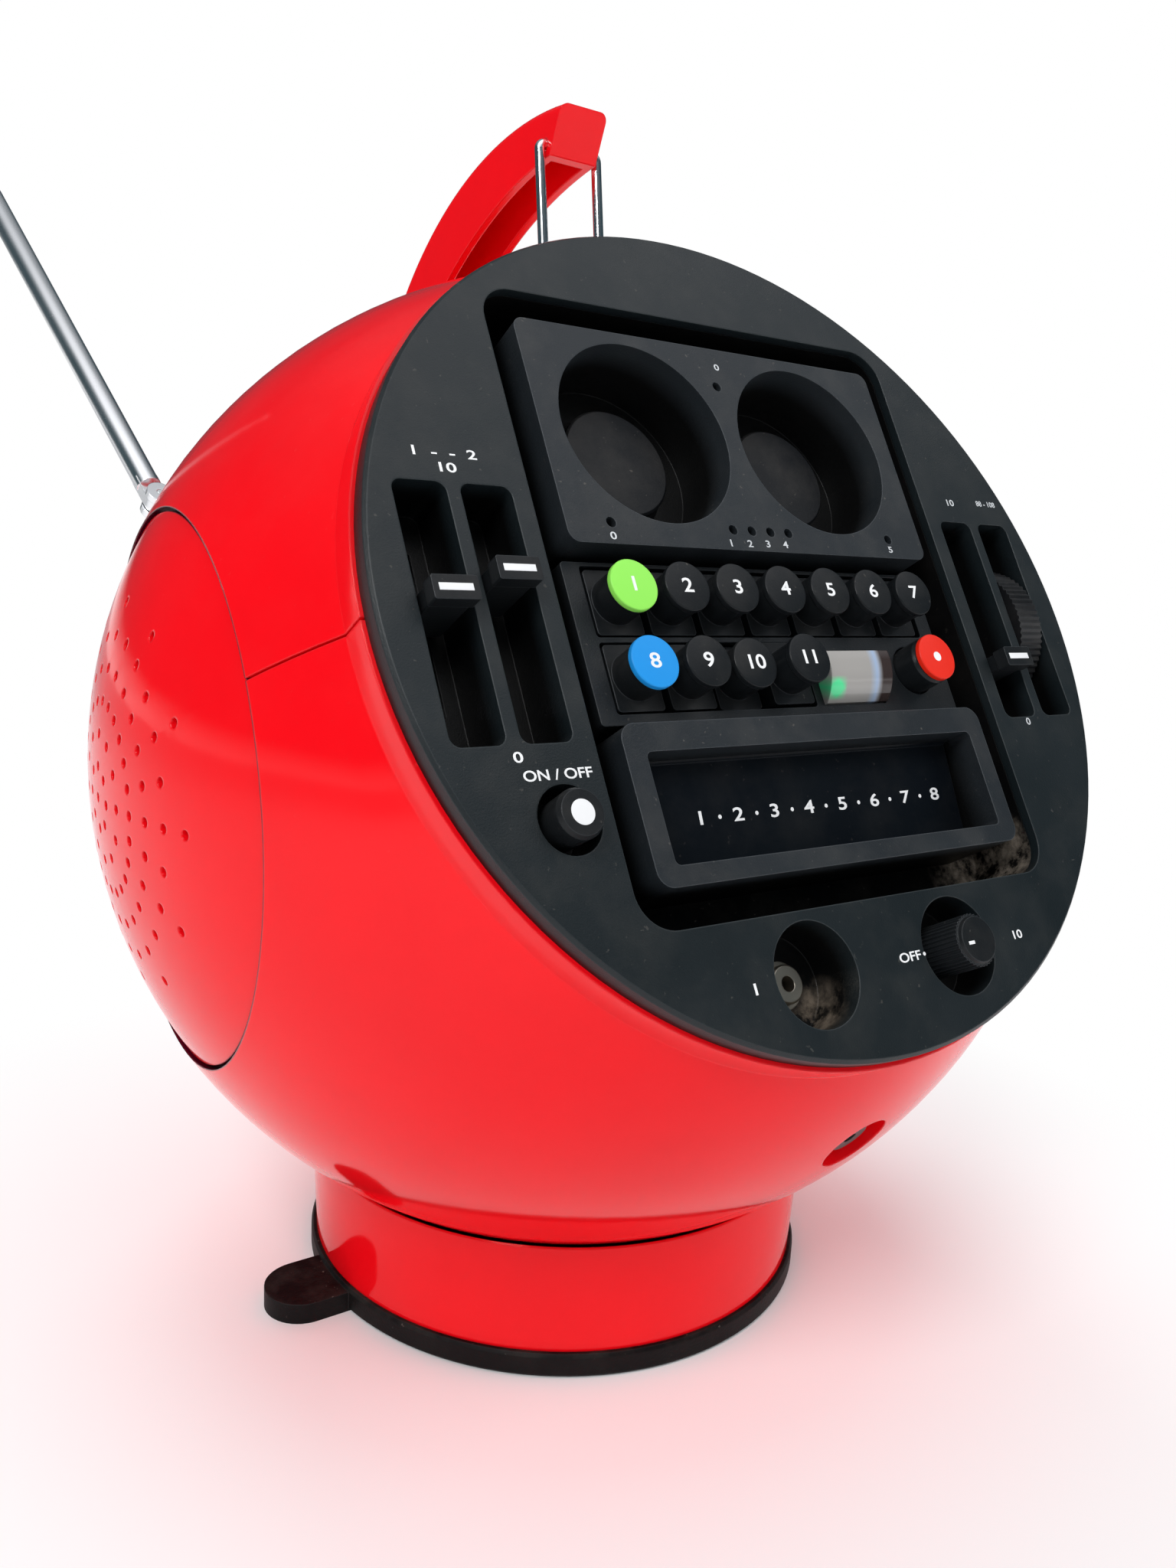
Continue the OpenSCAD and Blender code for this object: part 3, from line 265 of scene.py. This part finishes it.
def placed_effect(tree, group, **numbers):
    node = tree.nodes.new("ShaderNodeGroup")
    node.node_tree = group
    for label, number in numbers.items():
        node.inputs[label].default_value = number
    return node.outputs


def finish_base(name, metallic=0.0):
    material = bpy.data.materials.new(name)
    material.use_nodes = True
    shader = material.node_tree.nodes["Principled BSDF"]
    shader.inputs["Metallic"].default_value = metallic
    return material, material.node_tree, shader


def relief(tree, shader, height, depth, normal):
    bump = tree.nodes.new("ShaderNodeBump")
    bump.inputs["Strength"].default_value = 1
    bump.inputs["Distance"].default_value = depth
    tree.links.new(height, bump.inputs["Height"])
    tree.links.new(normal, bump.inputs["Normal"])
    tree.links.new(bump.outputs["Normal"], shader.inputs["Normal"])


def plastic(name, colour, deep, roughness, grain, depth, edge=0.0004, fine=0.7, waves=40,
            rim=None, dust=0.0, dust_colour=(0.42, 0.38, 0.33), sheen=0.5):
    """Moulded plastic. Its tone drifts from colour to deep; rim is a lighter colour painted
    along its edges, partly rubbed wear and partly painted highlight.
    """
    material, tree, shader = finish_base(name)
    shader.inputs["Specular IOR Level"].default_value = sheen
    skin = placed_effect(tree, moulded_skin, Grain=grain, Fine=fine, Waves=waves)
    edges = placed_effect(tree, rounded_edge, Radius=edge)
    lint = placed_effect(tree, settled_dust, Amount=dust)
    tone = mix_of(tree, skin["Cloud"], colour, deep)
    # Painted edge highlight together with rubbed wear: a lighter colour along the edges
    tone = mix_of(tree, edges["Mask"], tone, rim or tuple(1.5 * c for c in colour))
    tone = mix_of(tree, lint["Mask"], tone, dust_colour)
    tree.links.new(tone, shader.inputs["Base Color"])
    shine = ranged(tree, skin["Cloud"], 0.0, 1.0, *roughness)
    shine = calculated(tree, "ADD", shine, calculated(tree, "MULTIPLY", lint["Mask"], 0.4))
    tree.links.new(shine, shader.inputs["Roughness"])
    relief(tree, shader, skin["Height"], depth, edges["Normal"])
    return material


def dress(material, *nodes):
    """Gives CAD nodes their material. Their meshes stay as they are."""
    for name in nodes:
        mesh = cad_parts[name].data
        mesh.materials.clear()
        mesh.materials.append(material)


dress(plastic("foot_black", (0.0016, 0.0014, 0.0015), (0.003, 0.0026, 0.0028), (0.5, 0.62),
              1400, 0.00012, edge=0.0006, rim=(0.02, 0.018, 0.019), dust=0.25, sheen=0.18),
      "foot_ring")

# ---- Drum and swivel stud ----
# The red drum is a turned shell of the same glossy plastic as the ball, which stands in it and
# swivels on a zinc-plated stud and nut. The gloss is polished in the mould, so that only slow
# waves are left in it, and the red has a faint drift in its depth.
case_red = plastic("case_red", (0.92, 0.0035, 0.009), (0.86, 0.003, 0.008), (0.07, 0.12), 900,
                   0.00007, edge=0.0007, fine=0.06, waves=22, rim=(0.95, 0.015, 0.022),
                   dust=0.04, dust_colour=(0.85, 0.45, 0.43), sheen=0.27)


def metal(name, colour, deep, roughness, grain, depth, dust=0.0):
    """Bare or plated metal, with small scratches and a little uneven tarnish."""
    material, tree, shader = finish_base(name, 1.0)
    skin = placed_effect(tree, moulded_skin, Grain=grain, Fine=0.6, Waves=180)
    edges = placed_effect(tree, rounded_edge, Radius=0.0003)
    lint = placed_effect(tree, settled_dust, Amount=dust)
    tone = mix_of(tree, skin["Cloud"], colour, deep)
    tree.links.new(mix_of(tree, lint["Mask"], tone, (0.3, 0.28, 0.25)),
                   shader.inputs["Base Color"])
    shine = ranged(tree, skin["Cloud"], 0.0, 1.0, *roughness)
    shine = calculated(tree, "ADD", shine, calculated(tree, "MULTIPLY", lint["Mask"], 0.5))
    tree.links.new(shine, shader.inputs["Roughness"])
    relief(tree, shader, skin["Height"], depth, edges["Normal"])
    return material


zinc = metal("zinc_plate", (0.6, 0.6, 0.6), (0.5, 0.51, 0.53), (0.28, 0.42), 1500, 0.00003)
dress(case_red, "base_drum")
dress(zinc, "swivel_bolt")


# Height of the ball's middle, the turn that lays level things onto the control face, and how far
# the axis of each speaker cover leans
ball_height = 0.1563
face_turn = math.radians(59.5)
cover_lean = math.radians(2.5)


def shade_cover_gap(material, start, full, end, gap_shadow_red=(0.1, 0.0008, 0.012)):
    """Darkens the gap round each speaker cover with painted shadow, by its distance from the
    covers' axes.
    """
    tree = material.node_tree
    shader = tree.nodes["Principled BSDF"]
    place = tree.nodes.new("ShaderNodeSeparateXYZ")
    tree.links.new(tree.nodes.new("ShaderNodeTexCoord").outputs["Object"],
                   place.inputs["Vector"])
    x = calculated(tree, "ABSOLUTE", place.outputs["X"])
    z = calculated(tree, "SUBTRACT", place.outputs["Z"], ball_height)

    def turned(first, second, angle):
        """The two places along axes that are turned by an angle."""
        cos, sin = math.cos(angle), math.sin(angle)
        return (calculated(tree, "SUBTRACT", calculated(tree, "MULTIPLY", first, cos),
                           calculated(tree, "MULTIPLY", second, sin)),
                calculated(tree, "ADD", calculated(tree, "MULTIPLY", first, sin),
                           calculated(tree, "MULTIPLY", second, cos)))

    forwards, up = turned(z, place.outputs["Y"], face_turn)
    outwards, across = turned(x, forwards, cover_lean)
    away = calculated(tree, "SQRT", calculated(
        tree, "ADD", calculated(tree, "MULTIPLY", across, across),
        calculated(tree, "MULTIPLY", up, up)))
    gap = calculated(tree, "MINIMUM", ranged(tree, away, start, full, 0.0, 1.0),
                     ranged(tree, away, end + full - start, end, 0.0, 1.0))
    gap = calculated(tree, "MULTIPLY", gap, ranged(tree, outwards, 0.09, 0.1, 0.0, 1.0))
    clean = shader.inputs["Base Color"].links[0].from_socket
    tree.links.new(mix_of(tree, gap, clean, gap_shadow_red), shader.inputs["Base Color"])


# Painted shadow in the gaps round the speaker covers
shade_cover_gap(case_red, 0.0698, 0.0701, 0.0711)

# ---- Half shells ----
# The ball is two glossy red half shells that meet at a level seam. Screws at the rear draw them
# together from below, and at the front the fascia's rim holds both halves of the collar.
dress(case_red, "upper_shell", "lower_shell", "battery_door")
dress(zinc, "case_screws")

# ---- Speaker covers and speakers ----
# A round red cover with rings of holes snaps into each side of the ball. A speaker with a black
# paper cone and a painted steel basket is clamped behind it.
dress(case_red, "speaker_cover_left", "speaker_cover_right")
dress(plastic("cone_black", (0.02, 0.019, 0.018), (0.03, 0.028, 0.026), (0.7, 0.85), 700,
              0.0003, fine=0.9), "speakers")

# ---- Headphone socket and power inlet ----
# Black moulded sockets at the floors of dishes in the lower shell, the one at the front for
# headphones and the one at the rear for the mains lead.
socket_black = plastic("socket_black", (0.016, 0.015, 0.015), (0.024, 0.022, 0.021), (0.35, 0.5),
                       1500, 0.00005, rim=(0.05, 0.045, 0.04), dust=0.5)
dress(socket_black, "headphone_jack", "power_inlet")

# ---- Handle ----
# A hollow red moulding that lies round the back of the ball. It turns on a steel pin, and a bail
# of chromed wire comes up through two slots to carry its free end.
chrome = metal("chrome", (0.88, 0.89, 0.91), (0.8, 0.81, 0.84), (0.12, 0.2), 2500, 0.000008,
               dust=0.1)
dress(case_red, "handle")
dress(zinc, "handle_pin")
dress(chrome, "handle_bail")

# ---- Antenna ----
# Three chromed brass tubes that slide in each other, on a swivel head with a tilting fork. The
# last tube ends in a turned knob that stops it from sliding into the others.
satin_chrome = metal("satin_chrome", (0.93, 0.94, 0.95), (0.86, 0.87, 0.89), (0.2, 0.3), 2500,
                     0.000008, dust=0.1)
dress(satin_chrome, "antenna_mount", "antenna_swivel", "antenna_tube_1", "antenna_tube_2",
      "antenna_tube_3")

# ---- Tape deck ----
# A plated steel deck with uprights that guide the cartridge. Its motor drives the flywheel by a
# rubber belt from a brass pulley, and the head stands beside the capstan.
iron = metal("turned_iron", (0.35, 0.34, 0.33), (0.25, 0.24, 0.23), (0.3, 0.5), 900, 0.00004)
brass = metal("turned_brass", (0.72, 0.52, 0.22), (0.6, 0.41, 0.16), (0.2, 0.35), 1500, 0.00002)
dress(zinc, "chassis", "motor", "tape_head")
dress(brass, "motor_pulley")
dress(iron, "flywheel")
dress(plastic("belt_rubber", (0.012, 0.012, 0.012), (0.02, 0.02, 0.02), (0.7, 0.85), 1200,
              0.00008), "drive_belt")

# ---- Tuner and amplifier ----
# A green laminate board with its parts, a transformer of varnished iron and a black moulded box
# for the batteries, all inside the case.
dress(plastic("laminate_green", (0.03, 0.11, 0.05), (0.05, 0.15, 0.06), (0.35, 0.6), 600,
              0.00008), "circuit_board")
dress(iron, "transformer")
dress(plastic("inner_black", (0.016, 0.016, 0.017), (0.024, 0.024, 0.026), (0.5, 0.6), 1300,
              0.00008), "battery_box")


# ---- Control face ----
# A round black plate with a satin skin, held in the ball's collar. Its slots and recesses are
# moulded in one with it, and a separate tray closes the well for the panels.
def dusty_corner(material, centre, reach, dirt=(0.36, 0.29, 0.22)):
    """Adds dirt that has gathered round one place to a plastic that is already made."""
    tree = material.node_tree
    shader = tree.nodes["Principled BSDF"]
    place = tree.nodes.new("ShaderNodeTexCoord").outputs["Object"]
    away = tree.nodes.new("ShaderNodeVectorMath")
    away.operation = "DISTANCE"
    tree.links.new(place, away.inputs[0])
    away.inputs[1].default_value = centre
    near = ranged(tree, away.outputs["Value"], reach, reach * 0.25, 0.0, 1.0)
    patch = ranged(tree, noise_in(tree, place, 150, 5, 0.7), 0.42, 0.66, 0.0, 0.75)
    mask = calculated(tree, "MULTIPLY", near, patch)
    clean = shader.inputs["Base Color"].links[0].from_socket
    tree.links.new(mix_of(tree, mask, clean, dirt), shader.inputs["Base Color"])


def darker_inside(material, start, end):
    """Paints shade into a plastic's openings: darkens it from one depth behind the face to
    another, in mm.
    """
    inner_black = (0.0012, 0.0013, 0.0014)
    tree = material.node_tree
    shader = tree.nodes["Principled BSDF"]
    along = tree.nodes.new("ShaderNodeVectorMath")
    along.operation = "DOT_PRODUCT"
    tree.links.new(tree.nodes.new("ShaderNodeTexCoord").outputs["Object"], along.inputs[0])
    outwards = (face_place.to_3x3() @ Vector((0, 0, 1))).normalized()
    along.inputs[1].default_value = outwards
    levels = [outwards.dot(face_place @ Vector((0, 0, -depth))) for depth in (start, end)]
    mask = ranged(tree, along.outputs["Value"], *levels, 0.0, 1.0)
    open_colour = shader.inputs["Base Color"].links[0].from_socket
    tree.links.new(mix_of(tree, mask, open_colour, inner_black), shader.inputs["Base Color"])


# Millimetres on the face: x to the right, y up the face, z out of it, from the fascia's middle
face_distance = 0.10028
face_place = (Matrix.Translation((0, 0, ball_height)) @ Matrix.Rotation(face_turn, 4, "X")
              @ Matrix.Translation((0, 0, face_distance)) @ Matrix.Scale(0.001, 4))

fascia_black = plastic("fascia_black", (0.0065, 0.0105, 0.0125), (0.009, 0.0135, 0.016),
                       (0.34, 0.43), 2600, 0.00006, edge=0.0005, rim=(0.04, 0.05, 0.054),
                       dust=0.13, sheen=0.36)
# Painted shade in the slots and recesses, from 1.5 to 6 mm behind the face
darker_inside(fascia_black, 1.5, 6)
dusty_corner(fascia_black, face_place @ Vector((-17, -96, -14)), 0.0125)
tray_black = plastic("tray_black", (0.0012, 0.0012, 0.0014), (0.0022, 0.0022, 0.0024),
                     (0.5, 0.65), 1500, 0.00006, dust=0.12, sheen=0.12)
dusty_corner(tray_black, face_place @ Vector((61, -66, -16)), 0.0165, (0.8, 0.68, 0.55))
dress(fascia_black, "fascia")
dress(tray_black, "well_tray")

# ---- Meter panel ----
# A black panel with two deep cups for the dials and seven small holes for the lamps. The dials
# are unlit dark grey discs, and the lamps sit deep in their holes.
panel_black = plastic("panel_black", (0.012, 0.0155, 0.019), (0.0165, 0.021, 0.025),
                      (0.4, 0.5), 2200, 0.00009, edge=0.0004, rim=(0.07, 0.08, 0.09),
                      dust=0.22, sheen=0.38)
# Painted shade in the dial cups and lamp holes, from 3 to 9 mm behind the face
darker_inside(panel_black, 3, 9)
dress(panel_black, "meter_panel")
dress(plastic("dial_grey", (0.007, 0.0078, 0.0095), (0.011, 0.012, 0.0135), (0.35, 0.45), 1800,
              0.00005, rim=(0.03, 0.032, 0.038), dust=0.2, sheen=0.2), "meter_dials")
dress(plastic("lamp_red", (0.05, 0.006, 0.006), (0.07, 0.008, 0.008), (0.15, 0.25), 900,
              0.00002), "indicator_lamps")


# ---- Keys ----
# Eleven round keys and the record key stand on posts in a bezel. Each post has a printed cap
# moulded over it: green, blue and red for three of them, and black for the others.
sharp_from = math.radians(35)


def piece_of(shape, name, body, material, place):
    """Ends a mesh drawn in millimetres: puts it in its place and lets it move with a body."""
    bmesh.ops.recalc_face_normals(shape, faces=shape.faces)
    for face in shape.faces:
        face.smooth = True
    mesh = bpy.data.meshes.new(name)
    shape.to_mesh(mesh)
    shape.free()
    mesh.transform(place)
    mesh.set_sharp_from_angle(angle=sharp_from)
    mesh.materials.append(material)
    piece = bpy.data.objects.new(name, mesh)
    bpy.context.scene.collection.objects.link(piece)
    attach(piece, body)
    return piece


def round_bar(r, low, high, segments=48, rim=0.0):
    """An upright round bar, with its upper rim rounded where rim is given."""
    shape = bmesh.new()
    bmesh.ops.create_cone(shape, cap_ends=True, segments=segments, radius1=r, radius2=r,
                          depth=high - low,
                          matrix=Matrix.Translation((0, 0, (low + high) / 2)))
    if rim:
        top = [e for e in shape.edges if all(v.co.z > high - 1e-5 for v in e.verts)]
        bmesh.ops.bevel(shape, geom=top, offset=rim, segments=4, profile=0.5, affect="EDGES",
                        material=-1)
    return shape


def printed(text, name, tall, at, body="ball", wide=1.3, ink=None, place=face_place):
    """A printed number or word: its letters' height, its middle, and how wide they are."""
    letter_share = 0.72  # a capital's height, as a share of the font's size
    ink_depth = 0.03
    ink_spread = 0.022  # makes the strokes bolder
    curve = bpy.data.curves.new(name, "FONT")
    curve.body = text
    curve.align_x = curve.align_y = "CENTER"
    curve.size = tall / letter_share
    curve.extrude = ink_depth / 2
    curve.offset = tall * ink_spread
    holder = bpy.data.objects.new(name, curve)
    bpy.context.scene.collection.objects.link(holder)
    bpy.context.view_layer.update()
    mesh = bpy.data.meshes.new_from_object(
        holder.evaluated_get(bpy.context.evaluated_depsgraph_get()))
    bpy.data.objects.remove(holder)
    mesh.transform(place @ Matrix.Translation((at[0], at[1], at[2] + ink_depth / 2))
                   @ Matrix.Diagonal((wide, 1, 1, 1)))
    mesh.materials.clear()
    mesh.materials.append(ink or white_ink)
    piece = bpy.data.objects.new(name, mesh)
    bpy.context.scene.collection.objects.link(piece)
    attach(piece, body)
    return piece


white_ink = plastic("white_ink", (0.9, 0.91, 0.92), (0.82, 0.83, 0.84), (0.4, 0.5), 3000,
                    0.00001, edge=0.00002, rim=(0.9, 0.9, 0.9))
pale_ink = plastic("pale_ink", (0.66, 0.69, 0.71), (0.52, 0.54, 0.56), (0.4, 0.5), 3000,
                   0.00001, edge=0.00002, rim=(0.62, 0.62, 0.62))
key_black = plastic("key_black", (0.007, 0.0085, 0.01), (0.01, 0.0115, 0.013), (0.27, 0.36),
                    1800, 0.00004, edge=0.00035, rim=(0.05, 0.056, 0.062), dust=0.15,
                    sheen=0.22)
key_colours = {
    1: plastic("key_green", (0.3, 0.83, 0.11), (0.27, 0.78, 0.1), (0.3, 0.38), 1500,
               0.00003, rim=(0.42, 0.9, 0.2), sheen=0.3),
    8: plastic("key_blue", (0.012, 0.3, 0.78), (0.011, 0.27, 0.72), (0.3, 0.38), 1500,
               0.00003, rim=(0.08, 0.45, 0.85), sheen=0.3),
    12: plastic("key_red", (0.8, 0.02, 0.006), (0.75, 0.018, 0.006), (0.3, 0.38), 1500,
                0.00003, rim=(0.9, 0.1, 0.06), sheen=0.3),
}
dress(panel_black, "key_bezel")
dress(key_black, "record_key", *("key_%d" % number for number in range(1, 12)))
key_pitch = 15.2
key_cap_r = 6.3
upper_row, lower_row = 5.2, -13.4
# Each key's column, the height of its row on the face, and how far it stands out
key_rows = {number: (number - 4, upper_row, 2.7) for number in range(1, 8)}
key_rows.update({8: (-3, lower_row, 2.7), 9: (-2, lower_row, 2.7), 10: (-1, lower_row, 1.2),
                 11: (0, lower_row, 3.7), 12: (3, lower_row, 3.4)})
for number, (column, v, proud) in key_rows.items():
    name = "record_key" if number == 12 else "key_%d" % number
    place = face_place @ Matrix.Translation((column * key_pitch, v, 0))
    cap = piece_of(round_bar(key_cap_r, proud - 1.25, proud + 0.15, rim=0.3), name + "_cap",
                   name + "_body", key_colours.get(number, key_black), place)
    if number == 12:
        piece_of(round_bar(1.3, proud + 0.12, proud + 0.19, 32), "record_key_dot",
                 "record_key_body", white_ink, place)
    else:
        printed(str(number), name + "_number", 3.6,
                (column * key_pitch, v, proud + 0.16), name + "_body", wide=1.25)

# ---- Counter window ----
# An acrylic barrel lens that age has clouded. It magnifies the programme counter behind it, a
# white drum with a green band. What shows through it is painted into the lens's colour: a pale
# field, a blue streak with a dark band beside it, and a green spot.
lens_clear, lens_tree, lens_shader = finish_base("lens_clear")
lens_shader.inputs["Transmission Weight"].default_value = 0.15
lens_shader.inputs["IOR"].default_value = 1.49
lens_place = lens_tree.nodes.new("ShaderNodeSeparateXYZ")
lens_tree.links.new(lens_tree.nodes.new("ShaderNodeTexCoord").outputs["Object"],
                    lens_place.inputs["Vector"])
lens_across, lens_up = lens_place.outputs["X"], lens_place.outputs["Z"]


def lens_band(value, start, full, end):
    """A soft-edged band between two places: 1 at its middle, 0 past its ends."""
    rise = ranged(lens_tree, value, start, full, 0.0, 1.0)
    fall = ranged(lens_tree, value, end, full, 0.0, 1.0)
    return calculated(lens_tree, "MINIMUM", rise, fall)


# Painted view through the lens: a pale field, a blue streak, a dark band and a green spot
lens_painted_view = mix_of(lens_tree, lens_band(lens_across, 0.0238, 0.0262, 0.0283),
                   (0.42, 0.405, 0.385), (0.4, 0.52, 0.72))
lens_painted_view = mix_of(lens_tree, ranged(lens_tree, lens_across, 0.0268, 0.0285, 0.0, 1.0),
                   lens_painted_view, (0.045, 0.032, 0.03))
lens_painted_spot = calculated(lens_tree, "MULTIPLY", lens_band(lens_across, 0.0085, 0.0125, 0.0158),
                       lens_band(lens_up, 0.1865, 0.1897, 0.1928))
lens_painted_view = mix_of(lens_tree, calculated(lens_tree, "MINIMUM", 1.0, calculated(
    lens_tree, "MULTIPLY", lens_painted_spot, 2.5)), lens_painted_view, (0.1, 0.9, 0.38))
lens_tree.links.new(lens_painted_view, lens_shader.inputs["Base Color"])
lens_skin = placed_effect(lens_tree, moulded_skin, Grain=900, Fine=0.1, Waves=90)
lens_edges = placed_effect(lens_tree, rounded_edge, Radius=0.0003)
lens_tree.links.new(ranged(lens_tree, lens_skin["Cloud"], 0.0, 1.0, 0.03, 0.12),
                    lens_shader.inputs["Roughness"])
relief(lens_tree, lens_shader, lens_skin["Height"], 0.00003, lens_edges["Normal"])
dress(lens_clear, "counter_window")
counter_white = plastic("counter_white", (0.66, 0.68, 0.69), (0.5, 0.52, 0.53), (0.35, 0.5),
                        700, 0.00005, rim=(0.7, 0.7, 0.7))
counter_green = plastic("counter_green", (0.05, 0.5, 0.25), (0.04, 0.42, 0.2), (0.35, 0.5),
                        700, 0.00005)
lying = Matrix.Rotation(math.radians(90), 4, "Y")
for name, low, high, r, material in (("counter_drum", -9.6, 9.6, 5.6, counter_white),
                                     ("counter_band", -9.0, -5.2, 5.66, counter_green)):
    piece_of(round_bar(r, low, high, 64), name, "ball", material,
                     face_place @ Matrix.Translation((21, -17.2, -15.4)) @ lying)

# ---- Tape slot ----
# A panel with a raised bezel round the opening for a cartridge, and a flap that hangs in the
# opening on a steel pin. The flap is a smooth dark grey moulding with a printed line.
door_grey = plastic("door_grey", (0.0025, 0.004, 0.0065), (0.0035, 0.0055, 0.008), (0.3, 0.4),
                    1600, 0.00003, rim=(0.03, 0.034, 0.04), dust=0.08, sheen=0.1)
dress(panel_black, "slot_panel")
dress(door_grey, "slot_door")
dress(zinc, "door_pin")
door_place = (face_place @ Matrix.Translation((0, -32.0, -9.5))
              @ Matrix.Rotation(math.radians(6), 4, "X"))
first_number, first_dot, number_pitch, line_height = -34.5, -28.9, 11.2, -14.5
for i in range(8):
    printed(str(i + 1), "door_number_%d" % (i + 1), 3.2,
            (first_number + number_pitch * i, line_height, 1.11), "slot_door_body", wide=1.5,
            place=door_place)
    if i < 7:
        piece_of(round_bar(0.5, 1.08, 1.14, 24), "door_dot_%d" % (i + 1), "slot_door_body",
                 white_ink, door_place @ Matrix.Translation((first_dot + number_pitch * i,
                                                             line_height, 0)))


# ---- Sliders and tuning wheel ----
# Three black slider caps with a white index line across each, on stems that run in slits. The
# knurled tuning wheel shows its rim in the fourth slot.
def flat_bar(half_u, half_v, low, high):
    """A flat bar with its edges broken, lying on the face."""
    shape = bmesh.new()
    bmesh.ops.create_cube(shape, size=1, matrix=Matrix.Translation((0, 0, (low + high) / 2))
                          @ Matrix.Diagonal((2 * half_u, 2 * half_v, high - low, 1)))
    bmesh.ops.bevel(shape, geom=shape.edges[:], offset=0.04, segments=2, profile=0.5,
                    affect="EDGES", material=-1)
    return shape


dress(key_black, "slider_left", "slider_right", "slider_tone")
dress(zinc, "control_pots")
dress(plastic("wheel_black", (0.006, 0.0065, 0.0075), (0.01, 0.0105, 0.012), (0.3, 0.42), 1500,
              0.00005, edge=0.0002, rim=(0.04, 0.043, 0.048), dust=0.25, sheen=0.25),
      "tuning_wheel")
for name, u, v in (("slider_left", -92.2, 2.1), ("slider_right", -76.2, 6.9),
                   ("slider_tone", 76.2, -14.3)):
    piece_of(flat_bar(3.9, 0.8, 5.3, 5.48), name + "_line", name + "_body", white_ink,
             face_place @ Matrix.Translation((u, v, 0)))

# ---- Power button ----
# A black push button in a round recess, with a white disc let into its top. It works a latching
# switch behind the plate.
dress(key_black, "power_button")
dress(zinc, "power_switch")
piece_of(round_bar(2.75, 4.9, 5.1, 48, rim=0.06), "power_button_dot", "power_button_body",
         white_ink, face_place @ Matrix.Translation((-75.6, -46.5, 0)))

# ---- Microphone socket and level knob ----
# A nickel-plated socket nut at the floor of the left recess, and in the right one a knurled
# black knob for the level, with a white mark that points to its off position.
nickel = metal("worn_nickel", (0.6, 0.55, 0.46), (0.4, 0.36, 0.3), (0.3, 0.45), 1200,
               0.00004, dust=0.8)
dress(nickel, "mic_jack")
dress(key_black, "level_knob")
piece_of(flat_bar(1.0, 0.4, 6.3, 6.46), "level_knob_mark", "level_knob_body", white_ink,
         face_place @ Matrix.Translation((20.6, -86.9, 0)))

# ---- Printing on the face ----
# Thin screen-printed figures beside the controls. They are plain numbers and dots, and ON and
# OFF at the switch.
for name, text, tall, u, v, wide, ink in (
        ("volume_head", "1  -  -  2", 2.3, -84.6, 36.5, 1.55, white_ink),
        ("volume_top", "10", 2.3, -84.7, 32.9, 1.6, white_ink),
        ("volume_foot", "0", 2.3, -84.2, -32.8, 1.5, white_ink),
        ("power_word", "ON / OFF", 2.3, -75.8, -36.9, 1.25, white_ink),
        ("mic_mark", "1", 2.5, -40.8, -86.9, 1.5, white_ink),
        ("level_off", "OFF", 2.2, 6.4, -86.8, 1.35, white_ink),
        ("level_top", "10", 2.1, 44.9, -86.8, 1.4, white_ink),
        ("tone_head", "10", 2.0, 77.2, 35.6, 1.3, pale_ink),
        ("tone_foot", "0", 2.0, 78.2, -31.5, 1.3, pale_ink),
        ("tuning_head", "88 - 108", 1.7, 93.2, 36.2, 1.05, pale_ink),
        ("lamp_top", "0", 1.8, 1.9, 69.4, 1.4, pale_ink),
        ("lamp_left", "0", 1.9, -45.9, 18.4, 1.4, pale_ink),
        ("lamp_1", "1", 1.9, -11.0, 18.2, 1.3, pale_ink),
        ("lamp_2", "2", 1.9, -4.9, 18.3, 1.3, pale_ink),
        ("lamp_3", "3", 1.9, 1.0, 18.5, 1.3, pale_ink),
        ("lamp_4", "4", 1.9, 6.9, 18.6, 1.3, pale_ink),
        ("lamp_right", "5", 1.8, 45.0, 18.9, 1.4, pale_ink)):
    # The meter panel stands above the fascia's front
    height = 0.61 if name.startswith("lamp") else 0.01
    printed(text, name, tall, (u, v, height), wide=wide, ink=ink)
piece_of(round_bar(0.45, 0.0, 0.04, 24), "level_off_dot", "ball", white_ink,
         face_place @ Matrix.Translation((11.2, -86.7, 0)))
